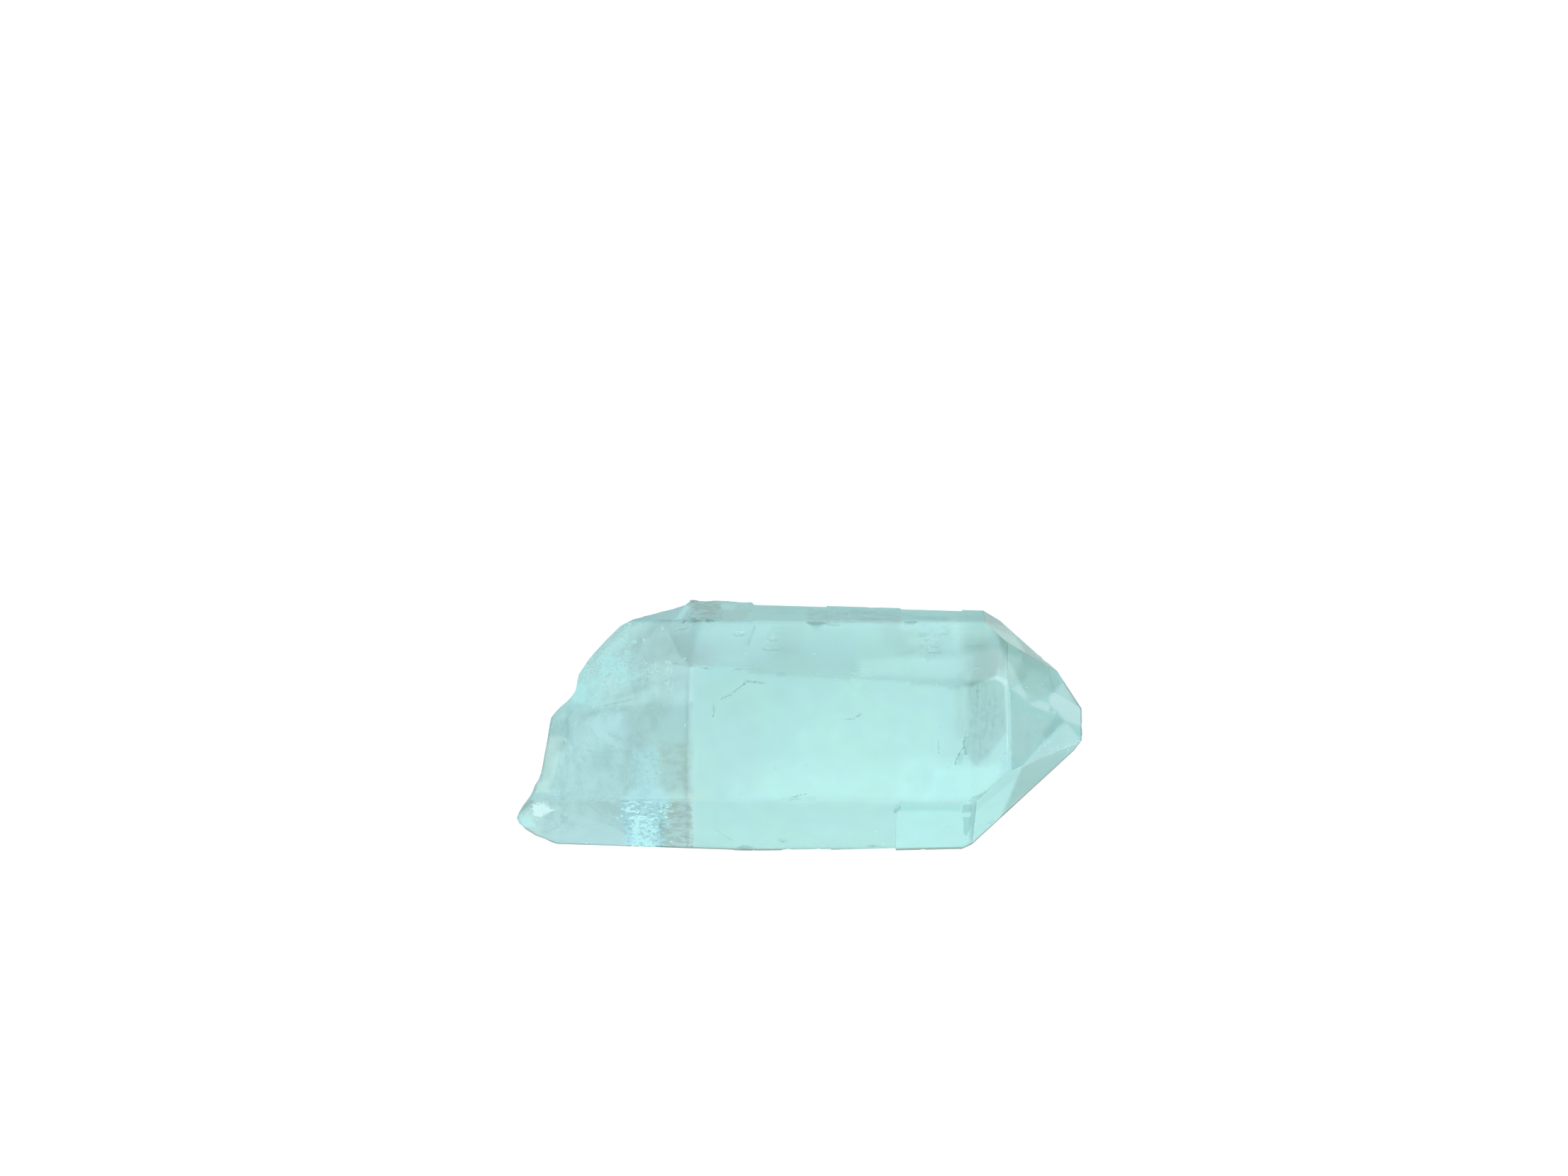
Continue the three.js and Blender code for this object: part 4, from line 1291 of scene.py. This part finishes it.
@dataclass(frozen=True)
class CrackShade:
    """The finish of the cracks: a dull grey-green film that lets part of the light by."""

    colour: Colour = (0.14, 0.30, 0.30)
    roughness: float = 0.6
    cover: float = 0.24
    cell: float = 0.4 * MM
    detail: float = 3.0
    edge: Range = (0.42, 0.6)

    def build(self) -> bpy.types.Material:
        """Makes the finish, a film that noise breaks up.

        Returns:
            The material.
        """
        material, bench = new_finish("crack_film")
        cover = bench.noise(bench.place(), self.cell, self.detail).above(*self.edge) * self.cover
        bench.surface(bench.film(cover, self.colour, self.roughness))
        return material


@dataclass
class Cracks:
    """The inner cracks, thin uneven curtains that hang just under the upper faces."""

    columns: int = 28
    rows: int = 7
    wander: float = 0.10 * MM
    wander_cell: float = 0.6 * MM
    thickness: float = 0.02 * MM
    blunt: float = 0.02

    def build(self, ground: Ground) -> bpy.types.Object:
        """Makes every crack and gives the curtains two sides and a closed rim.

        Args:
            ground: the surface that they hang under.

        Returns:
            All of them as one piece.
        """
        sheets = [self.sheet(crack, ground, seed) for seed, crack in enumerate(CRACKS)]
        size = self.rows * self.columns
        faces = [grid_faces(self.rows, self.columns) + size * number for number in range(len(sheets))]
        points = np.concatenate(sheets)
        piece = new_piece("inner_cracks", points, np.concatenate(faces).tolist(), CrackShade())
        wall = piece.modifiers.new("wall", "SOLIDIFY")
        wall.thickness = self.thickness
        wall.offset = 0.0
        return piece

    def sheet(self, crack: Crack, ground: Ground, seed: int) -> np.ndarray:
        """Works out one curtain.

        A point is the path's place at s, plus the drop times t downwards and the lean times t to
        the path's left, where s runs along the path and t down the curtain. The drop shrinks
        towards both ends as the root of a half wave, and noise moves every point a little.

        Args:
            crack: the crack.
            ground: the surface above it.
            seed: the seed of its noise.

        Returns:
            The points, row by row.
        """
        corners = np.array(crack.points) * MM
        steps = np.linalg.norm(np.diff(corners, axis=0), axis=1)
        travel = np.concatenate([[0.0], np.cumsum(steps)])
        s = np.linspace(0.0, 1.0, self.columns)
        path = np.column_stack([np.interp(s * travel[-1], travel, corners[:, axis]) for axis in (0, 1)])
        places, _, hits = ground.drop(path)
        height = np.interp(s, s[hits], places[:, 2])
        top = np.column_stack([path, height - crack.depth * MM])
        left = np.gradient(path, axis=0)
        left = np.column_stack([-left[:, 1], left[:, 0]]) / np.linalg.norm(left, axis=1)[:, None]
        swell = np.sqrt(np.sin(np.pi * np.clip(s, self.blunt, 1.0 - self.blunt)))
        t = np.linspace(0.0, 1.0, self.rows)[:, None, None]
        down = np.column_stack([left * crack.lean, np.full(self.columns, -crack.drop)]) * MM
        points = top[None] + t * (down * swell[:, None])[None]
        flat = points.reshape(-1, 3)
        push = [lattice_noise(flat, self.wander_cell, 3 * seed + axis) for axis in range(3)]
        return flat + np.column_stack(push) * self.wander


@dataclass(frozen=True)
class Veil:
    """A curved disc of tiny specks inside the crystal: the pale root veils are healed fractures, and the dark
    ones are painted shade.

    The middle and half widths are in millimetres, the tilts about the long axis and the cross
    axis in degrees, and the cover is the share of the light that its densest specks stop.
    """

    name: str
    middle: tuple[float, float, float]
    half: tuple[float, float]
    tilt: tuple[float, float]
    colour: Colour
    cover: float
    cell: float = 0.5
    sparse: float = 0.5
    bend: float = 0.08


VEILS = (
    Veil("far_root_veil", (-20.6, 6.2, 16.2), (5.6, 2.4), (20.0, 8.0), (0.62, 0.90, 0.95), 0.22, 0.6, 0.48),
    Veil("near_root_veil", (-19.2, -5.8, 15.4), (2.4, 4.6), (-10.0, 30.0), (0.62, 0.88, 0.96), 0.20,
         0.6, 0.50),
    # Painted shade: dark speckled sheets where the faces before and at the point, and in the far band, show
    # shade.
    Veil("end_shade_veil", (22.4, 0.8, 14.8), (2.6, 5.2), (0.0, 12.0), (0.16, 0.34, 0.34), 0.12, 0.7, 0.45),
    Veil("point_shade_veil", (28.8, -0.6, 13.6), (2.8, 3.4), (0.0, 38.0), (0.16, 0.34, 0.34), 0.12, 0.6, 0.45),
    Veil("far_band_shade_veil", (15.4, 9.4, 17.2), (3.6, 1.8), (6.0, -4.0), (0.20, 0.40, 0.40), 0.14, 0.5, 0.50),
)


@dataclass(frozen=True)
class VeilSpecks:
    """The finish of one veil: specks with clear crystal between them, fading towards its rim."""

    veil: Veil
    roughness: float = 0.7
    detail: float = 4.0
    rise: float = 0.16

    def build(self) -> bpy.types.Material:
        """Makes the finish, in which the pale value is 1 in the veil's middle and 0 at its rim.

        Returns:
            The material.
        """
        material, bench = new_finish(self.veil.name + "_specks")
        specks = bench.noise(bench.place(), self.veil.cell * MM, self.detail)
        cover = specks.above(self.veil.sparse, self.veil.sparse + self.rise) * self.veil.cover
        bench.surface(bench.film(cover * bench.attribute(PALE), self.veil.colour, self.roughness))
        return material


@dataclass
class Veils:
    """The veils, each its own piece."""

    rings: int = 14
    spokes: int = 48
    lobe_counts: tuple[int, int] = (3, 5)
    lobes: float = 0.14
    small_lobes: float = 0.6
    ripple: float = 0.35 * MM
    ripple_cell: float = 2.0 * MM

    def build(self) -> list[bpy.types.Object]:
        """Makes every veil."""
        return [self.veil(veil, seed) for seed, veil in enumerate(VEILS)]

    def veil(self, veil: Veil, seed: int) -> bpy.types.Object:
        """Makes one veil.

        With r from 0 to 1 and the angle a all round, a point lies r times the half widths along
        the cosine and sine of a, with three and five soft lobes in its outline. It bends up as
        the square of r, ripples with noise, and is then tilted and moved to its middle.

        Args:
            veil: the veil.
            seed: the seed of its ripple.

        Returns:
            The piece.
        """
        angle = np.linspace(0.0, 2.0 * np.pi, self.spokes, endpoint=False)
        r = np.linspace(0.0, 1.0, self.rings + 1)[1:, None]
        few, many = self.lobe_counts
        wide = np.sin(few * angle + seed)
        narrow = np.cos(many * angle + 2.0 * seed)
        reach = 1.0 + self.lobes * (wide + self.small_lobes * narrow)
        x = r * reach * np.cos(angle) * veil.half[0]
        y = r * reach * np.sin(angle) * veil.half[1]
        z = r**2 * veil.bend * max(veil.half) + np.zeros_like(x)
        flat = np.vstack([[0.0, 0.0, 0.0], np.column_stack([part.ravel() for part in (x, y, z)])]) * MM
        flat[:, 2] += lattice_noise(flat, self.ripple_cell, seed) * self.ripple
        about_x, about_y = np.radians(veil.tilt)
        cos_x, sin_x, cos_y, sin_y = np.cos(about_x), np.sin(about_x), np.cos(about_y), np.sin(about_y)
        turn_x = np.array([[1, 0, 0], [0, cos_x, -sin_x], [0, sin_x, cos_x]])
        turn_y = np.array([[cos_y, 0, sin_y], [0, 1, 0], [-sin_y, 0, cos_y]])
        points = flat @ (turn_y @ turn_x).T + np.array(veil.middle) * MM
        piece = new_piece(veil.name, points, disc_faces(self.rings, self.spokes), VeilSpecks(veil))
        set_pale(piece, np.concatenate([[1.0], np.repeat(1.0 - r.ravel() ** 2, self.spokes)]))
        return piece


@dataclass
class Studio:
    """The pale glowing floor, the soft light all round it and the camera."""

    floor_half: float = 1.5
    floor_drop: float = 0.03 * MM
    floor_grey: float = 0.5
    floor_roughness: float = 0.8
    floor_glow: float = 0.78
    glow_slope: float = 6.0
    glow_reach: float = 15.0 * MM
    lens: float = 60.0
    camera_place: tuple[float, float, float] = (-0.0022, -0.0258, 0.3394)
    camera_lean: float = 7.5
    clip_start: float = 10.0 * MM
    bounces: int = 32
    diffuse_bounces: int = 6
    clear_bounces: int = 64
    ambient: float = 0.6
    lobe_edge: float = 0.6
    overhead: float = 0.84
    left: float = 0.55
    right: float = 0.40
    near: float = 0.72

    def build(self) -> None:
        """Sets the floor, the world, the view and the camera."""
        self.build_floor()
        self.build_world()
        self.build_camera()

    def build_floor(self) -> None:
        """A flat pale floor just under the crystal, glowing a little more towards the viewer."""
        half = self.floor_half
        corners = [(-half, -half), (half, -half), (half, half), (-half, half)]
        mesh = bpy.data.meshes.new("studio_floor")
        mesh.from_pydata([(x, y, -self.floor_drop) for x, y in corners], [], [(0, 1, 2, 3)])
        floor = bpy.data.objects.new("studio_floor", mesh)
        bpy.context.scene.collection.objects.link(floor)
        material, bench = new_finish("floor_paper")
        towards = bench.place().dot((0.0, -1.0, 0.0))
        nearness = towards.above(-self.glow_reach, self.glow_reach) - 0.5
        glow = (1.0 + nearness * (2.0 * self.glow_reach * self.glow_slope)) * self.floor_glow
        paper = {
            "Base Color": (*[self.floor_grey] * 3, 1.0),
            "Roughness": self.floor_roughness,
            "Specular IOR Level": 0.0,
            "Emission Color": bench.grey(glow),
            "Emission Strength": 1.0,
        }
        bench.surface(bench.node("ShaderNodeBsdfPrincipled", {}, paper))
        mesh.materials.append(material)

    def build_world(self) -> None:
        """A soft light all round, with a brighter panel overhead and at three sides."""
        world = bpy.data.worlds.new("soft_studio")
        world.use_nodes = True
        bpy.context.scene.world = world
        bench = Bench(world.node_tree)
        direction = bench.node("ShaderNodeTexCoord", {}, {}, "Generated")
        panels = (
            ((0.0, 0.0, 1.0), self.overhead),
            ((-1.0, 0.0, 0.0), self.left),
            ((1.0, 0.0, 0.0), self.right),
            ((0.0, -1.0, 0.0), self.near),
        )
        strength: Term | float = self.ambient
        for axis, power in panels:
            strength = direction.dot(axis).above(self.lobe_edge, 1.0) * power + strength
        light = bench.node("ShaderNodeBackground", {}, {"Strength": strength})
        bench.make("ShaderNodeOutputWorld", {}, {"Surface": light})

    def build_camera(self) -> None:
        """The camera, nearly overhead, at the photograph's angle."""
        data = bpy.data.cameras.new("camera")
        data.lens = self.lens
        data.clip_start = self.clip_start
        camera = bpy.data.objects.new("camera", data)
        camera.location = self.camera_place
        camera.rotation_euler = (math.radians(self.camera_lean), 0.0, 0.0)
        bpy.context.scene.collection.objects.link(camera)
        scene = bpy.context.scene
        scene.camera = camera
        scene.view_settings.view_transform = "Standard"
        scene.cycles.max_bounces = self.bounces
        scene.cycles.transmission_bounces = self.bounces
        scene.cycles.glossy_bounces = self.bounces
        scene.cycles.diffuse_bounces = self.diffuse_bounces
        scene.cycles.transparent_max_bounces = self.clear_bounces


def main() -> None:
    """Builds the crystal and its studio, and reports each piece."""
    logging.basicConfig(level=logging.INFO, format="%(name)s: %(message)s")
    body = Crystal().build()
    ground = Ground(body)
    pieces = [body, Grains().build(ground), Cracks().build(ground), *Veils().build()]
    for piece in pieces:
        LOG.info("%s has %d faces", piece.name, len(piece.data.polygons))
    Studio().build()


if __name__ == "__main__":
    main()
